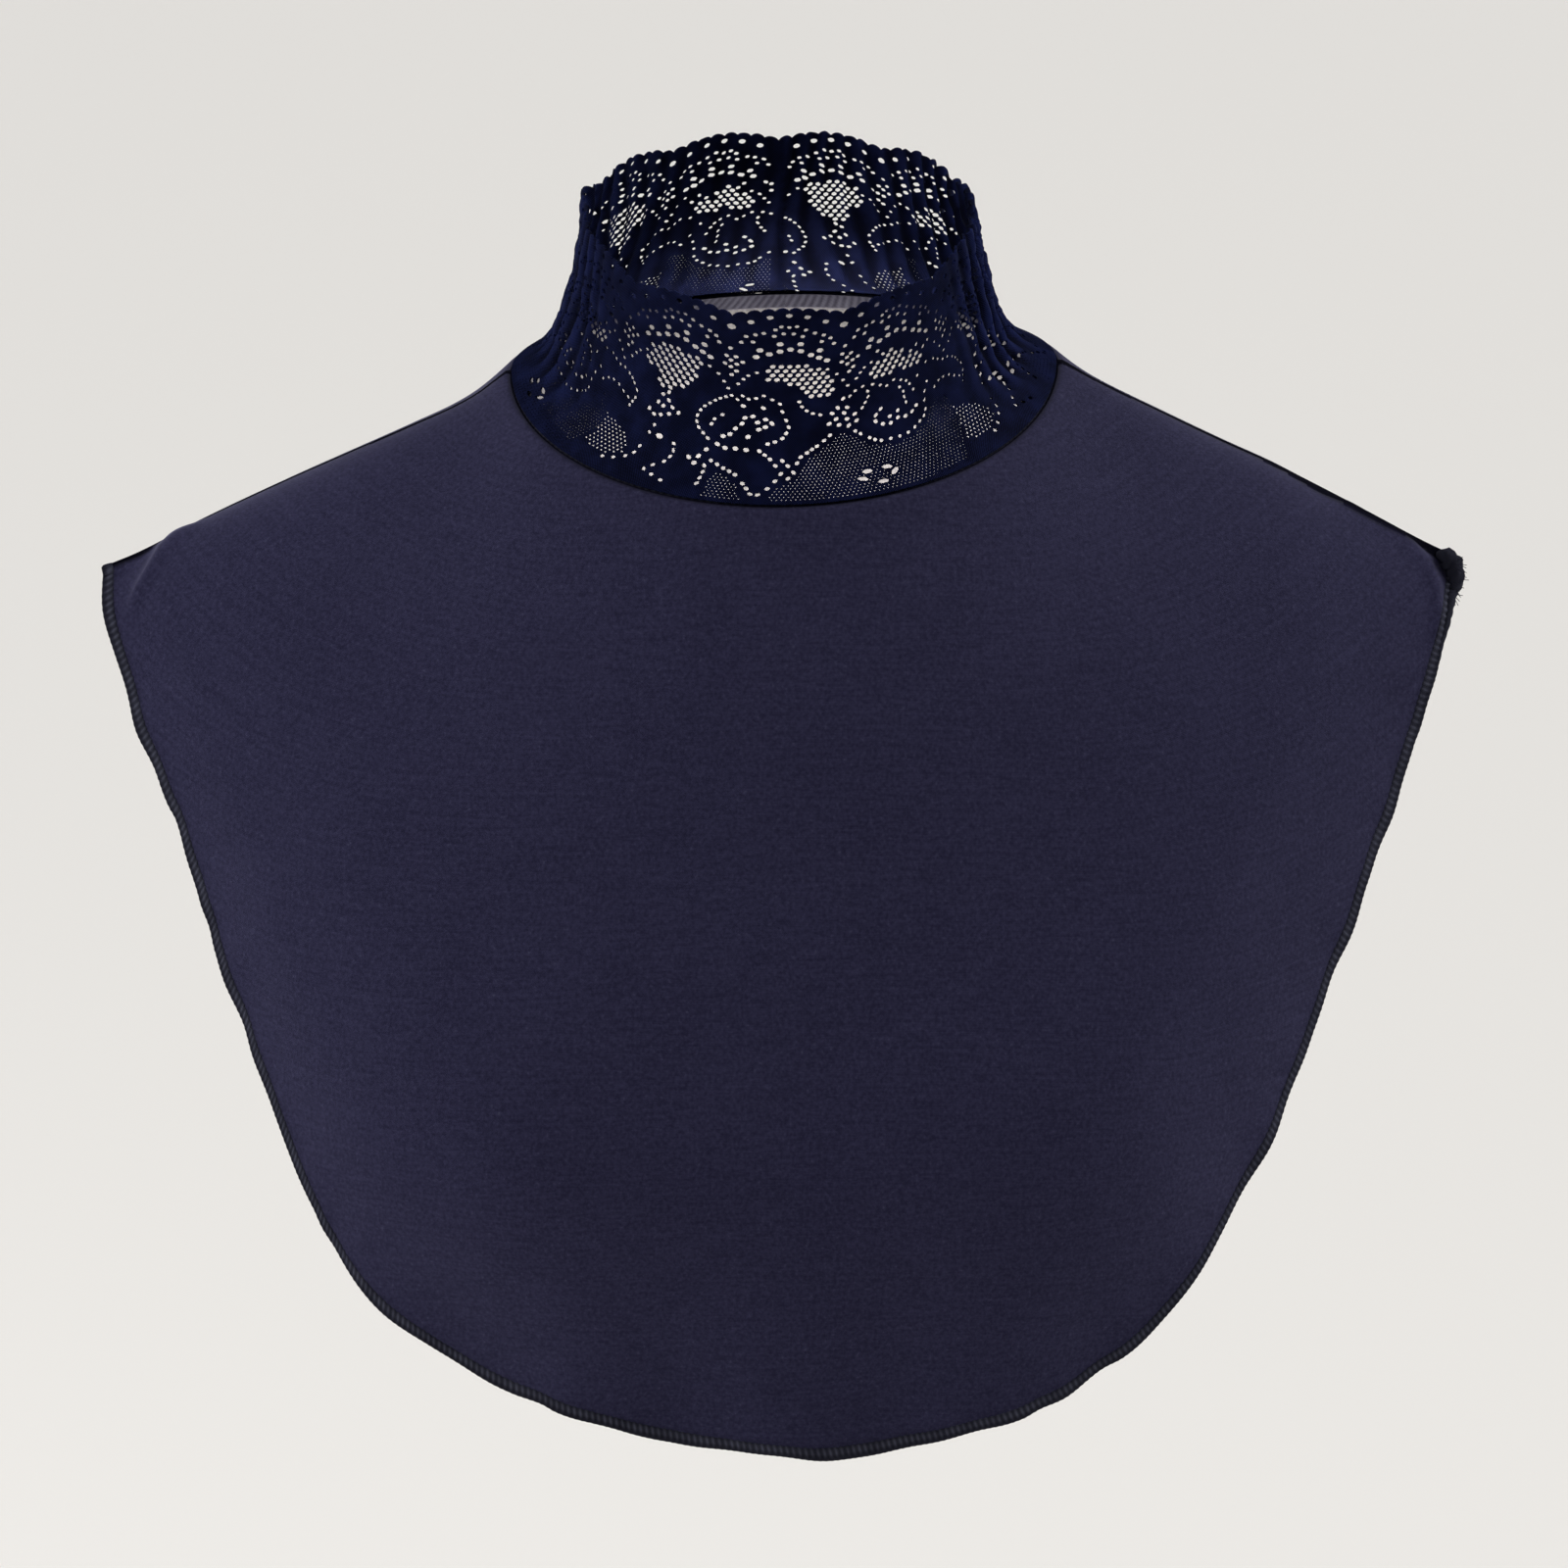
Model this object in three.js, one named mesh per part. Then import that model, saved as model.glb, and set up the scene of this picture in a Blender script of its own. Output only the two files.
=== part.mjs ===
// A pull-over dickey: a jersey bib with a front and a back panel, and a stand collar of stretch lace.
// Millimetres, +Z up, the wearer faces -Y. The origin is midway between the side points of the neckline.
import * as THREE from 'three';

// Driving dimensions
const neckHalfWidth = 82;
const jerseyWall = 1.2;
const laceWall = 1.0;
const seamGap = 0.3;
const hemWidth = 2.6;
const hemProud = 0.3;
const hemGap = 0.6;
const allowanceGap = 0.55;
const collarHeight = 60;

// Front panel, seen from in front: where its edge lies on each side at each drop below the origin
const frontEdge = [
  { drop: 63, left: 206, right: 205 },
  { drop: 81, left: 203, right: 199.5 },
  { drop: 113, left: 191, right: 188 },
  { drop: 145, left: 177, right: 175.5 },
  { drop: 177, left: 165.5, right: 162.5 },
  { drop: 209, left: 152.5, right: 149 },
  { drop: 242, left: 138, right: 131.5 },
  { drop: 259, left: 127, right: 120.5 },
  { drop: 279, left: 102, right: 101 },
  { drop: 293, left: 70, right: 77 },
  { drop: 303, left: 32, right: 43 },
];
const frontLowest = { across: 6, drop: 307 };

// Back panel: a little shorter and narrower, so that it hides behind the front
const backEdge = [
  { drop: 63, left: 206, right: 205 },
  { drop: 81, left: 197, right: 194 },
  { drop: 113, left: 181, right: 178 },
  { drop: 145, left: 166, right: 163 },
  { drop: 177, left: 150, right: 148 },
  { drop: 205, left: 127, right: 126 },
  { drop: 226, left: 92, right: 92 },
  { drop: 238, left: 48, right: 48 },
];
const backLowest = { across: 0, drop: 241 };

// How far each shoulder line lies above the straight way from neckline to tip (below it where negative), and
// how much higher the neckline stands at its right side point than midway
const shoulderLine = [
  { share: 0, left: -0.4, right: 0 },
  { share: 0.1, left: -3.4, right: -0.6 },
  { share: 0.25, left: -2.9, right: 0 },
  { share: 0.4, left: -1.9, right: 0.8 },
  { share: 0.55, left: -1, right: 2 },
  { share: 0.75, left: -0.4, right: 2.1 },
  { share: 0.9, left: -0.9, right: 1.8 },
  { share: 1, left: 0, right: 2.4 },
];
const neckTilt = 1.4;

// How far each panel stands out from the shoulder line at its middle, from the neckline (share 0) to the
// hem (share 1), and how round it folds over the shoulder there
const frontProfile = [
  { share: 0, depth: 74, roundness: 0 },
  { share: 0.12, depth: 86, roundness: 0.14 },
  { share: 0.3, depth: 101, roundness: 0.34 },
  { share: 0.5, depth: 114, roundness: 0.45 },
  { share: 0.68, depth: 122, roundness: 0.42 },
  { share: 0.84, depth: 120, roundness: 0.26 },
  { share: 1, depth: 113, roundness: 0.09 },
];
const backProfile = [
  { share: 0, depth: 55, roundness: 0 },
  { share: 0.12, depth: 66, roundness: 0.14 },
  { share: 0.3, depth: 80, roundness: 0.38 },
  { share: 0.5, depth: 90, roundness: 0.5 },
  { share: 0.75, depth: 94, roundness: 0.34 },
  { share: 1, depth: 91, roundness: 0.09 },
];

// Fullness over the bust, and soft flutes that hang below it
const bust = { across: 82, drop: 214, reach: 52, fullness: 8 };
const flute = { depth: 1.6, pitch: 62, fromDrop: 225, toDrop: 300 };
// Towards a shoulder tip the two panels stand up together as a narrow flap, from this share of the way out
const flap = { height: 6.5, fromLeft: 0.82, fromRight: 0.5, changeOver: 0.9 };

// The lace band, from its seam (share 0) to its top edge (share 1): how far it reaches to each side
const collarSides = [
  { share: 0, left: 82, right: 82 },
  { share: 0.12, left: 75.2, right: 73.5 },
  { share: 0.24, left: 70, right: 67 },
  { share: 0.4, left: 66.8, right: 63.2 },
  { share: 0.56, left: 63.8, right: 61 },
  { share: 0.75, left: 61.5, right: 58.4 },
  { share: 0.88, left: 60, right: 57 },
  { share: 1, left: 58.5, right: 56 },
];
// and where its front, side and back lines lie (out is along Y, up is along Z)
const collarRings = [
  { share: 0, frontOut: -74, frontUp: -27, sideOut: 0, sideUp: 0, backOut: 55, backUp: 8 },
  { share: 0.12, frontOut: -71, frontUp: -20.5, sideOut: -3, sideUp: 4, backOut: 51, backUp: 14 },
  { share: 0.24, frontOut: -69, frontUp: -13.5, sideOut: -6, sideUp: 9, backOut: 48, backUp: 21 },
  { share: 0.4, frontOut: -68, frontUp: -4, sideOut: -9.5, sideUp: 17, backOut: 45, backUp: 30 },
  { share: 0.56, frontOut: -68.5, frontUp: 5, sideOut: -12.5, sideUp: 26, backOut: 42.5, backUp: 39 },
  { share: 0.75, frontOut: -71, frontUp: 16, sideOut: -16, sideUp: 37, backOut: 39.5, backUp: 50 },
  { share: 0.88, frontOut: -73.5, frontUp: 24, sideOut: -18.5, sideUp: 45, backOut: 37.5, backUp: 57 },
  { share: 1, frontOut: -76, frontUp: 31, sideOut: -20.5, sideUp: 52, backOut: 36, backUp: 64 },
];

// Lace pattern: a row of eyelets under a scalloped edge, and coarse net windows under each scallop. The first
// notch between two scallops has this angle. Holes sit in the cells of the lace's grid, one column of them to
// each eyelet, and their outlines are shares of a cell
const scallopCount = 11;
const eyeletsPerScallop = 6;
const firstNotchDegrees = -14.8;
const scallopDepth = 2.6;
const laceRows = [0.005, 0.13, 0.27, 0.41, 0.54, 0.7, 0.87, 0.955, 1];
const eyeletRow = 6;
const netRow = 4;
const netColumns = [1, 2, 4, 5];
const eyeletOutline = [[0.74, 0.5], [0.62, 0.7], [0.38, 0.7], [0.26, 0.5], [0.38, 0.3], [0.62, 0.3]];
const netOutline = [[0.82, 0.5], [0.5, 0.82], [0.18, 0.5], [0.5, 0.18]];

// Seam allowances inside: round the neck, and under each shoulder
const neckAllowance = 5;
const shoulderAllowance = { half: 0.4, height: 4.5, tuft: 3.5 };
// Towards the tip the fold narrows, and the allowance hangs lower in it
const allowanceDrop = { depth: 3.2, fromShare: 0.55, toShare: 0.95 };

// Grid sizes
const panelColumns = 50;
const frontRows = 12;
const backRows = 9;
const seamColumns = 14;
// 1 spaces a panel's columns evenly; less crowds them towards the shoulder lines
const columnSpread = 0.62;
// Pieces that the length of a hem is measured in
const lengthSteps = 400;

const quarterTurn = Math.PI / 2;
// Closer to the shoulder line than this angle, a panel's wall is taken as standing on the line
const lineMargin = 0.01;

// Reads a column of a table between its rows, along a smooth curve
function smoothRead(table, along, value, column) {
  const last = table.length - 1;
  const found = table.findIndex((row) => row[along] >= value);
  const upper = found < 0 ? last : Math.max(found, 1);
  const slopeAt = (index) => {
    const before = table[Math.max(index - 1, 0)];
    const after = table[Math.min(index + 1, last)];
    return (after[column] - before[column]) / (after[along] - before[along]);
  };
  const start = table[upper - 1];
  const end = table[upper];
  const span = end[along] - start[along];
  const s = (value - start[along]) / span;
  const rest = 1 - s;
  const fromStart = rest * rest * ((1 + 2 * s) * start[column] + s * span * slopeAt(upper - 1));
  const fromEnd = s * s * ((1 + 2 * rest) * end[column] - rest * span * slopeAt(upper));
  return fromStart + fromEnd;
}

// A panel's edge as a flat curve from the left tip, round the lowest point, to the right tip
function edgeCurve(table, lowest) {
  const leftSide = table.map((row) => new THREE.Vector2(-row.left, -row.drop));
  const rightSide = table.map((row) => new THREE.Vector2(row.right, -row.drop)).reverse();
  const bottom = new THREE.Vector2(lowest.across, -lowest.drop);
  const curve = new THREE.SplineCurve([...leftSide, bottom, ...rightSide]);
  const lengths = curve.getLengths(lengthSteps);
  const middle = lengths[lengthSteps / 2] / lengths[lengthSteps];
  return { curve, middle };
}

const front = {
  facing: -1,
  neckRise: -27,
  neckGap: seamGap / 2,
  profile: frontProfile,
  edge: edgeCurve(frontEdge, frontLowest),
};
const back = {
  facing: 1,
  neckRise: 8,
  neckGap: seamGap,
  profile: backProfile,
  edge: edgeCurve(backEdge, backLowest),
};

// The hem point in front view. The angle runs from -90 degrees at the left tip to 90 at the right tip
function edgePoint(panel, angle) {
  const share = angle / quarterTurn;
  const { curve, middle } = panel.edge;
  return curve.getPointAt(share < 0 ? middle * (1 + share) : middle + (1 - middle) * share);
}

// A point of a panel's outer face: angle round the neck, share from the neckline to the hem
function panelPoint(panel, angle, share) {
  const inward = Math.max(Math.cos(angle), 0);
  const edge = edgePoint(panel, angle);
  const x = THREE.MathUtils.lerp(neckHalfWidth * Math.sin(angle), edge.x, share);
  const neckHeight = panel.neckRise * inward + neckTilt * Math.sin(angle);
  const z = THREE.MathUtils.lerp(neckHeight, edge.y, share) + shoulderBow(angle, share);
  const depth = smoothRead(panel.profile, 'share', share, 'depth');
  const roundness = smoothRead(panel.profile, 'share', share, 'roundness');
  const flapWidth = flapShare(panel, angle, share);
  const beyondFlap = Math.hypot(inward, flapWidth) - flapWidth;
  const folded = Math.sqrt((beyondFlap * beyondFlap + 2 * roundness * beyondFlap) / (1 + 2 * roundness));
  let out = depth * folded;
  if (panel === front) {
    out += bustFullness(x, z) + hangingFlutes(x, z);
  }
  return new THREE.Vector3(x, panel.facing * (out + seamGap / 2), z);
}

// The bow of the shoulder line, dying out towards the middle of the panel
function shoulderBow(angle, share) {
  const nearLine = 1 - Math.cos(angle);
  const bow = smoothRead(shoulderLine, 'share', Math.min(share, 1), angle < 0 ? 'left' : 'right');
  return bow * nearLine * nearLine * nearLine;
}

// How much of the way round to the middle the flap at a shoulder tip takes up, at this share of the way out
function flapShare(panel, angle, share) {
  const toRight = THREE.MathUtils.smoothstep(angle, -flap.changeOver, flap.changeOver);
  const from = THREE.MathUtils.lerp(flap.fromLeft, flap.fromRight, toRight);
  const edgeLength = panel.edge.curve.getLength() / 2;
  return (flap.height / edgeLength) * quarterTurn * THREE.MathUtils.smoothstep(share, from, 1);
}

function bustFullness(x, z) {
  const sideways = (Math.abs(x) - bust.across) / bust.reach;
  const upwards = (z + bust.drop) / bust.reach;
  return bust.fullness * Math.exp(-sideways * sideways - upwards * upwards);
}

function hangingFlutes(x, z) {
  const strength = THREE.MathUtils.smoothstep(-z, flute.fromDrop, flute.toDrop);
  return strength * flute.depth * Math.cos((2 * Math.PI * x) / flute.pitch);
}

// A point of the lace band: turn is 0 at the front middle and half a turn at the back
function collarPoint(turn, share) {
  const read = (column) => smoothRead(collarRings, 'share', share, column);
  const sideways = Math.sin(turn);
  const side = smoothRead(collarSides, 'share', share, sideways < 0 ? 'left' : 'right');
  const forward = Math.cos(turn);
  const reach = Math.abs(forward);
  const line = forward >= 0 ? 'front' : 'back';
  const y = THREE.MathUtils.lerp(read('sideOut'), read(`${line}Out`), reach);
  const level = THREE.MathUtils.lerp(read('sideUp'), read(`${line}Up`), reach);
  return new THREE.Vector3(side * sideways, y, level + neckTilt * sideways * (1 - share));
}

// The outward normal of a surface of two numbers, by small steps
function normalOf(surface, first, second, outwardSign) {
  const step = 1e-4;
  const along = surface(first + step, second).sub(surface(first - step, second));
  const across = surface(first, second + step).sub(surface(first, second - step));
  return along.cross(across).normalize().multiplyScalar(outwardSign);
}

// On the shoulder line the wall stands upright, so that front and back meet in a flat seam
function panelNormal(panel, angle, share) {
  const limit = quarterTurn - lineMargin;
  const inside = THREE.MathUtils.clamp(angle, -limit, limit);
  const normal = normalOf((a, s) => panelPoint(panel, a, s), inside, share, panel.facing);
  if (Math.abs(angle) > limit) {
    normal.setY(0).normalize();
  }
  return normal;
}

function collarNormal(turn, share) {
  return normalOf(collarPoint, turn, share, 1);
}

// Angles across a panel, closer together near the shoulder lines, where it folds over
function panelAngles(count) {
  return Array.from({ length: count + 1 }, (_, index) => {
    const place = (2 * index) / count - 1;
    const fromTip = 1 - Math.abs(place);
    const spread = columnSpread * fromTip + (1 - columnSpread) * fromTip * fromTip;
    return Math.sign(place) * quarterTurn * (1 - spread);
  });
}

// A closed wall from two matching grids of points, listed row by row. A closed round joins its last column
// to its first. outlineAt gives the outline of a hole through a cell, in shares of that cell, or nothing
function wallGeometry(outer, inner, closedRound, outlineAt = () => null) {
  const rows = outer.length;
  const columns = outer[0].length;
  const points = [...outer.flat(), ...inner.flat()];
  const index = (side, row, column) => side * rows * columns + row * columns + (column % columns);
  const faces = [];
  const quad = (a, b, c, d) => faces.push(a, b, c, a, c, d);
  const lastColumn = closedRound ? columns : columns - 1;
  for (let row = 0; row < rows - 1; row += 1) {
    for (let column = 0; column < lastColumn; column += 1) {
      const corners = [[row, column], [row, column + 1], [row + 1, column + 1], [row + 1, column]];
      const outerCell = corners.map(([r, c]) => index(0, r, c));
      const innerCell = corners.map(([r, c]) => index(1, r, c));
      const outline = outlineAt(row, column);
      if (outline) {
        pierceCell(points, faces, outerCell, innerCell, outline);
      } else {
        quad(...outerCell);
        quad(...innerCell.reverse());
      }
    }
  }
  for (let column = 0; column < lastColumn; column += 1) {
    const next = column + 1;
    const top = rows - 1;
    quad(index(0, 0, next), index(0, 0, column), index(1, 0, column), index(1, 0, next));
    quad(index(0, top, column), index(0, top, next), index(1, top, next), index(1, top, column));
  }
  if (!closedRound) {
    const end = columns - 1;
    for (let row = 0; row < rows - 1; row += 1) {
      quad(index(0, row, 0), index(0, row + 1, 0), index(1, row + 1, 0), index(1, row, 0));
      quad(index(0, row + 1, end), index(0, row, end), index(1, row, end), index(1, row + 1, end));
    }
  }
  const geometry = new THREE.BufferGeometry();
  geometry.setAttribute('position', new THREE.Float32BufferAttribute(points.flatMap((p) => p.toArray()), 3));
  geometry.setIndex(faces);
  return facingOut(geometry);
}

// Fills the two faces of a cell round a hole, and lines the hole through the wall
function pierceCell(points, faces, outerCell, innerCell, outline) {
  const quad = (a, b, c, d) => faces.push(a, b, c, a, c, d);
  const place = (cell, [across, up]) => {
    const [a, b, c, d] = cell.map((corner) => points[corner]);
    const low = a.clone().lerp(b, across);
    const high = d.clone().lerp(c, across);
    return points.push(low.lerp(high, up)) - 1;
  };
  const square = [[0, 0], [1, 0], [1, 1], [0, 1]];
  const flat = (pairs) => pairs.map(([across, up]) => new THREE.Vector2(across, up));
  const rim = [...outline].reverse();
  const outerRim = rim.map((corner) => place(outerCell, corner));
  const innerRim = rim.map((corner) => place(innerCell, corner));
  const outerAll = [...outerCell, ...outerRim];
  const innerAll = [...innerCell, ...innerRim];
  const layout = flat([...square, ...rim]);
  for (const [a, b, c] of THREE.ShapeUtils.triangulateShape(flat(square), [flat(rim)])) {
    const turned = THREE.ShapeUtils.area([layout[a], layout[b], layout[c]]) < 0;
    const [first, second, third] = turned ? [a, c, b] : [a, b, c];
    faces.push(outerAll[first], outerAll[second], outerAll[third]);
    faces.push(innerAll[first], innerAll[third], innerAll[second]);
  }
  rim.forEach((corner, here) => {
    const next = (here + 1) % rim.length;
    quad(outerRim[next], outerRim[here], innerRim[here], innerRim[next]);
  });
}

// Turns every face over if the body they enclose would come out with a negative volume
function facingOut(geometry) {
  const position = geometry.getAttribute('position');
  const index = geometry.getIndex();
  const corner = (k) => new THREE.Vector3().fromBufferAttribute(position, index.getX(k));
  let volume = 0;
  for (let k = 0; k < index.count; k += 3) {
    volume += corner(k).dot(corner(k + 1).cross(corner(k + 2)));
  }
  if (volume < 0) {
    for (let k = 0; k < index.count; k += 3) {
      const second = index.getX(k + 1);
      index.setX(k + 1, index.getX(k + 2));
      index.setX(k + 2, second);
    }
  }
  return geometry;
}

// A length in millimetres as a share of the way from the neckline to the hem at this angle
function shareOf(panel, angle, length) {
  const wayDown = panelPoint(panel, angle, 0).distanceTo(panelPoint(panel, angle, 1));
  return length / wayDown;
}

// A wall on a panel's surface between two shares, from one height above the surface to another below it
function panelWall(panel, columns, rows, shareRange, above, below) {
  const outer = [];
  const inner = [];
  for (let row = 0; row <= rows; row += 1) {
    const outerRow = [];
    const innerRow = [];
    for (const angle of panelAngles(columns)) {
      const [start, end] = shareRange(angle);
      const share = THREE.MathUtils.lerp(start, end, row / rows);
      const point = panelPoint(panel, angle, share);
      const normal = panelNormal(panel, angle, share);
      outerRow.push(point.clone().addScaledVector(normal, above));
      innerRow.push(point.clone().addScaledVector(normal, -below));
    }
    outer.push(outerRow);
    inner.push(innerRow);
  }
  return wallGeometry(outer, inner, false);
}

function panelGeometry(panel, rows) {
  const range = (angle) => {
    const start = shareOf(panel, angle, panel.neckGap);
    const end = 1 - shareOf(panel, angle, hemWidth + hemGap);
    return [start, end];
  };
  return panelWall(panel, panelColumns, rows, range, 0, jerseyWall);
}

function hemGeometry(panel) {
  const range = (angle) => [1 - shareOf(panel, angle, hemWidth), 1];
  return panelWall(panel, panelColumns, 1, range, hemProud, jerseyWall + hemProud);
}

// How far the top edge dips towards the notches between scallops, in millimetres
function scallopDip(column) {
  const pastNotch = (column - 0.5 + eyeletsPerScallop) % eyeletsPerScallop;
  return scallopDepth * (1 - Math.sin((Math.PI * pastNotch) / eyeletsPerScallop));
}

// A ring of lace between the shares that shareAt gives, from one depth below the lace's face to another. Each
// eyelet is in the middle of a cell, so the first column stands half a cell before the first notch
function laceRing(rows, shareAt, top, bottom, outlineAt) {
  const columns = scallopCount * eyeletsPerScallop;
  const firstNotch = THREE.MathUtils.degToRad(firstNotchDegrees);
  const grid = (depth) => rows.map((row) => Array.from({ length: columns }, (_, column) => {
    const turn = firstNotch + (2 * Math.PI * (column - 0.5)) / columns;
    const share = shareAt(column, row);
    return collarPoint(turn, share).addScaledVector(collarNormal(turn, share), -depth);
  }));
  return wallGeometry(grid(top), grid(bottom), true, outlineAt);
}

function collarGeometry() {
  const shareAt = (column, row) => row * (1 - scallopDip(column) / collarHeight);
  const outlineAt = (row, column) => {
    if (row === eyeletRow) {
      return eyeletOutline;
    }
    const inNet = row === netRow && netColumns.includes(column % eyeletsPerScallop);
    return inNet ? netOutline : null;
  };
  return laceRing(laceRows, shareAt, 0, laceWall, outlineAt);
}

function neckSeamGeometry() {
  const shareAt = (column, row) => row;
  const lie = laceWall + seamGap;
  const rows = [seamGap / collarHeight, neckAllowance / collarHeight];
  return laceRing(rows, shareAt, lie, lie + laceWall);
}

// The shoulder allowance hangs like a fin inside the fold, and its end shows past the right tip as a tuft
function shoulderSeamGeometry(side) {
  const angle = side * quarterTurn;
  const tuft = side > 0 ? shoulderAllowance.tuft : 0;
  const start = shareOf(front, angle, neckAllowance);
  const end = 1 + shareOf(front, angle, tuft);
  const lie = jerseyWall + allowanceGap;
  const faceAt = (y) => [lie, lie + shoulderAllowance.height].map((depth) => {
    const row = [];
    for (let column = 0; column <= seamColumns; column += 1) {
      const share = THREE.MathUtils.lerp(start, end, column / seamColumns);
      const normal = panelNormal(front, angle, Math.min(share, 1));
      const drop = THREE.MathUtils.smoothstep(share, allowanceDrop.fromShare, allowanceDrop.toShare);
      const lowered = depth + allowanceDrop.depth * drop;
      row.push(panelPoint(front, angle, share).addScaledVector(normal, -lowered).setY(y));
    }
    return row;
  });
  return wallGeometry(faceAt(-shoulderAllowance.half), faceAt(shoulderAllowance.half), false);
}

function cloth(name, color, roughness) {
  return new THREE.MeshStandardMaterial({ name, color, roughness, metalness: 0 });
}

const jersey = { name: 'jersey', color: '#2b2a42', roughness: 0.85 };
const lace = { name: 'lace', color: '#14193c', roughness: 0.7 };
const edgeThread = { name: 'edge_thread', color: '#1b1c30', roughness: 0.75 };

const pieces = [
  { name: 'front_panel', geometry: panelGeometry(front, frontRows), finish: jersey },
  { name: 'back_panel', geometry: panelGeometry(back, backRows), finish: jersey },
  { name: 'lace_collar', geometry: collarGeometry(), finish: lace },
  { name: 'neck_seam', geometry: neckSeamGeometry(), finish: edgeThread },
  { name: 'front_hem', geometry: hemGeometry(front), finish: edgeThread },
  { name: 'back_hem', geometry: hemGeometry(back), finish: edgeThread },
  { name: 'left_shoulder_seam', geometry: shoulderSeamGeometry(-1), finish: edgeThread },
  { name: 'right_shoulder_seam', geometry: shoulderSeamGeometry(1), finish: edgeThread },
];

const dickey = new THREE.Group();
dickey.name = 'dickey';
for (const { name, geometry, finish } of pieces) {
  const mesh = new THREE.Mesh(geometry, cloth(finish.name, finish.color, finish.roughness));
  mesh.name = name;
  dickey.add(mesh);
}

export default dickey;
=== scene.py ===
import math

import bpy
import numpy as np
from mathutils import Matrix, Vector
from mathutils.geometry import delaunay_2d_cdt


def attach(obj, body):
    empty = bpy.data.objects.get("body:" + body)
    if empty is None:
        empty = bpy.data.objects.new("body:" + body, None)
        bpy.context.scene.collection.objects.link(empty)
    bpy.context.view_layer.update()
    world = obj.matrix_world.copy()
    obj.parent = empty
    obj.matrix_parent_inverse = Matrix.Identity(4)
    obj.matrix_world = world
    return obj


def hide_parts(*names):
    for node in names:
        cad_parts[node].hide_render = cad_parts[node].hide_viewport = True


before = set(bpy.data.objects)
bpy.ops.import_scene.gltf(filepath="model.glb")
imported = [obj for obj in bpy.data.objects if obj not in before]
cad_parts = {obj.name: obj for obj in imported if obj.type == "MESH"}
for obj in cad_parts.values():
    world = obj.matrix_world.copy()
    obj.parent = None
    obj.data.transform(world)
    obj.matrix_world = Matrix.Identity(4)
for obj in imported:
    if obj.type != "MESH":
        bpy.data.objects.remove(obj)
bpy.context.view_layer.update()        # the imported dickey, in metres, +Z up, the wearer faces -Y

mm = 0.001
quarterTurn = math.pi / 2

# Camera first: 15 degrees above level, straight in front
view = {
    "distance": 2.2, "lookAt": (0.0, -0.0327, -0.1219), "elevation": 15.0, "lens": 168.66, "sensor": 36,
    "clipEnd": 60,
}


def addCamera():
    tilt = math.radians(view["elevation"])
    data = bpy.data.cameras.new("camera")
    data.lens = view["lens"]
    data.sensor_width = view["sensor"]
    data.clip_end = view["clipEnd"]
    camera = bpy.data.objects.new("camera", data)
    camera.location = Vector(view["lookAt"]) + view["distance"] * Vector((0, -math.cos(tilt), math.sin(tilt)))
    camera.rotation_euler = (quarterTurn - tilt, 0, 0)
    bpy.context.scene.collection.objects.link(camera)
    bpy.context.scene.camera = camera


addCamera()
print("camera ready")

# Power is a sun's strength or a lamp's watts, and angle is a sun's softness or a lamp's spread
studio = {
    "floorDrop": 1.1, "floorSize": 60,
    "paper": {"Base Color": (0.80, 0.787, 0.765, 1), "Roughness": 0.9, "Specular IOR Level": 0.1},
    "world": {"Color": (0.95, 0.96, 0.98, 1), "Strength": 0.02},
    "suns": {
        "overhead": {"from": (0, 0.19, 1.0), "power": 1.05, "angle": 50, "color": (1.0, 0.99, 0.975)},
        "fromLeft": {"from": (-1.0, 0.1, 0.7), "power": 0.65, "angle": 40, "color": (1.0, 0.99, 0.98)},
        "fromRight": {"from": (1.0, 0.1, 0.7), "power": 2.6, "angle": 40, "color": (1.0, 0.99, 0.98)},
    },
    "lamps": {
        "left": {"from": (-2.4, -0.8, 1.2), "to": (0, 0, -0.1), "size": (1.4, 1.4), "power": 48, "angle": 180,
                 "color": (1.0, 0.99, 0.98)},
        "inside": {"from": (0, -0.06, -0.13), "to": (0, 0.075, -0.03), "size": (0.17, 0.03), "power": 0.5,
                   "angle": 46, "color": (1.0, 0.90, 0.74)},
    },
}


def newMaterial(name, values):
    # a Principled material, with constants on the shader's own sockets
    material = bpy.data.materials.new(name)
    material.use_nodes = True
    shader = material.node_tree.nodes["Principled BSDF"]
    for socket, value in values.items():
        shader.inputs[socket].default_value = value
    return material, shader


def addLight(name, kind, lamp, target):
    data = bpy.data.lights.new(name, kind)
    data.energy = lamp["power"]
    data.color = lamp["color"]
    light = bpy.data.objects.new(name, data)
    light.location = lamp["from"]
    aim = Vector(target) - Vector(lamp["from"])
    light.rotation_euler = aim.to_track_quat("-Z", "Y").to_euler()
    bpy.context.scene.collection.objects.link(light)
    return data


def addStudio():
    bpy.ops.mesh.primitive_plane_add(size=studio["floorSize"], location=(0, 0, -studio["floorDrop"]))
    floor = bpy.context.object
    floor.name = "floor"
    floor.data.materials.append(newMaterial("floor_paper", studio["paper"])[0])
    world = bpy.data.worlds.new("studio")
    world.use_nodes = True
    for socket, value in studio["world"].items():
        world.node_tree.nodes["Background"].inputs[socket].default_value = value
    bpy.context.scene.world = world
    for name, lamp in studio["suns"].items():
        sun = addLight(name, "SUN", lamp, (0, 0, 0))
        sun.angle = math.radians(lamp["angle"])
    for name, lamp in studio["lamps"].items():
        area = addLight(name, "AREA", lamp, lamp["to"])
        area.shape = "RECTANGLE"
        area.size, area.size_y = lamp["size"]
        area.spread = math.radians(lamp["angle"])
    bpy.context.scene.view_settings.view_transform = "Standard"


addStudio()
print("studio ready")

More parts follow.
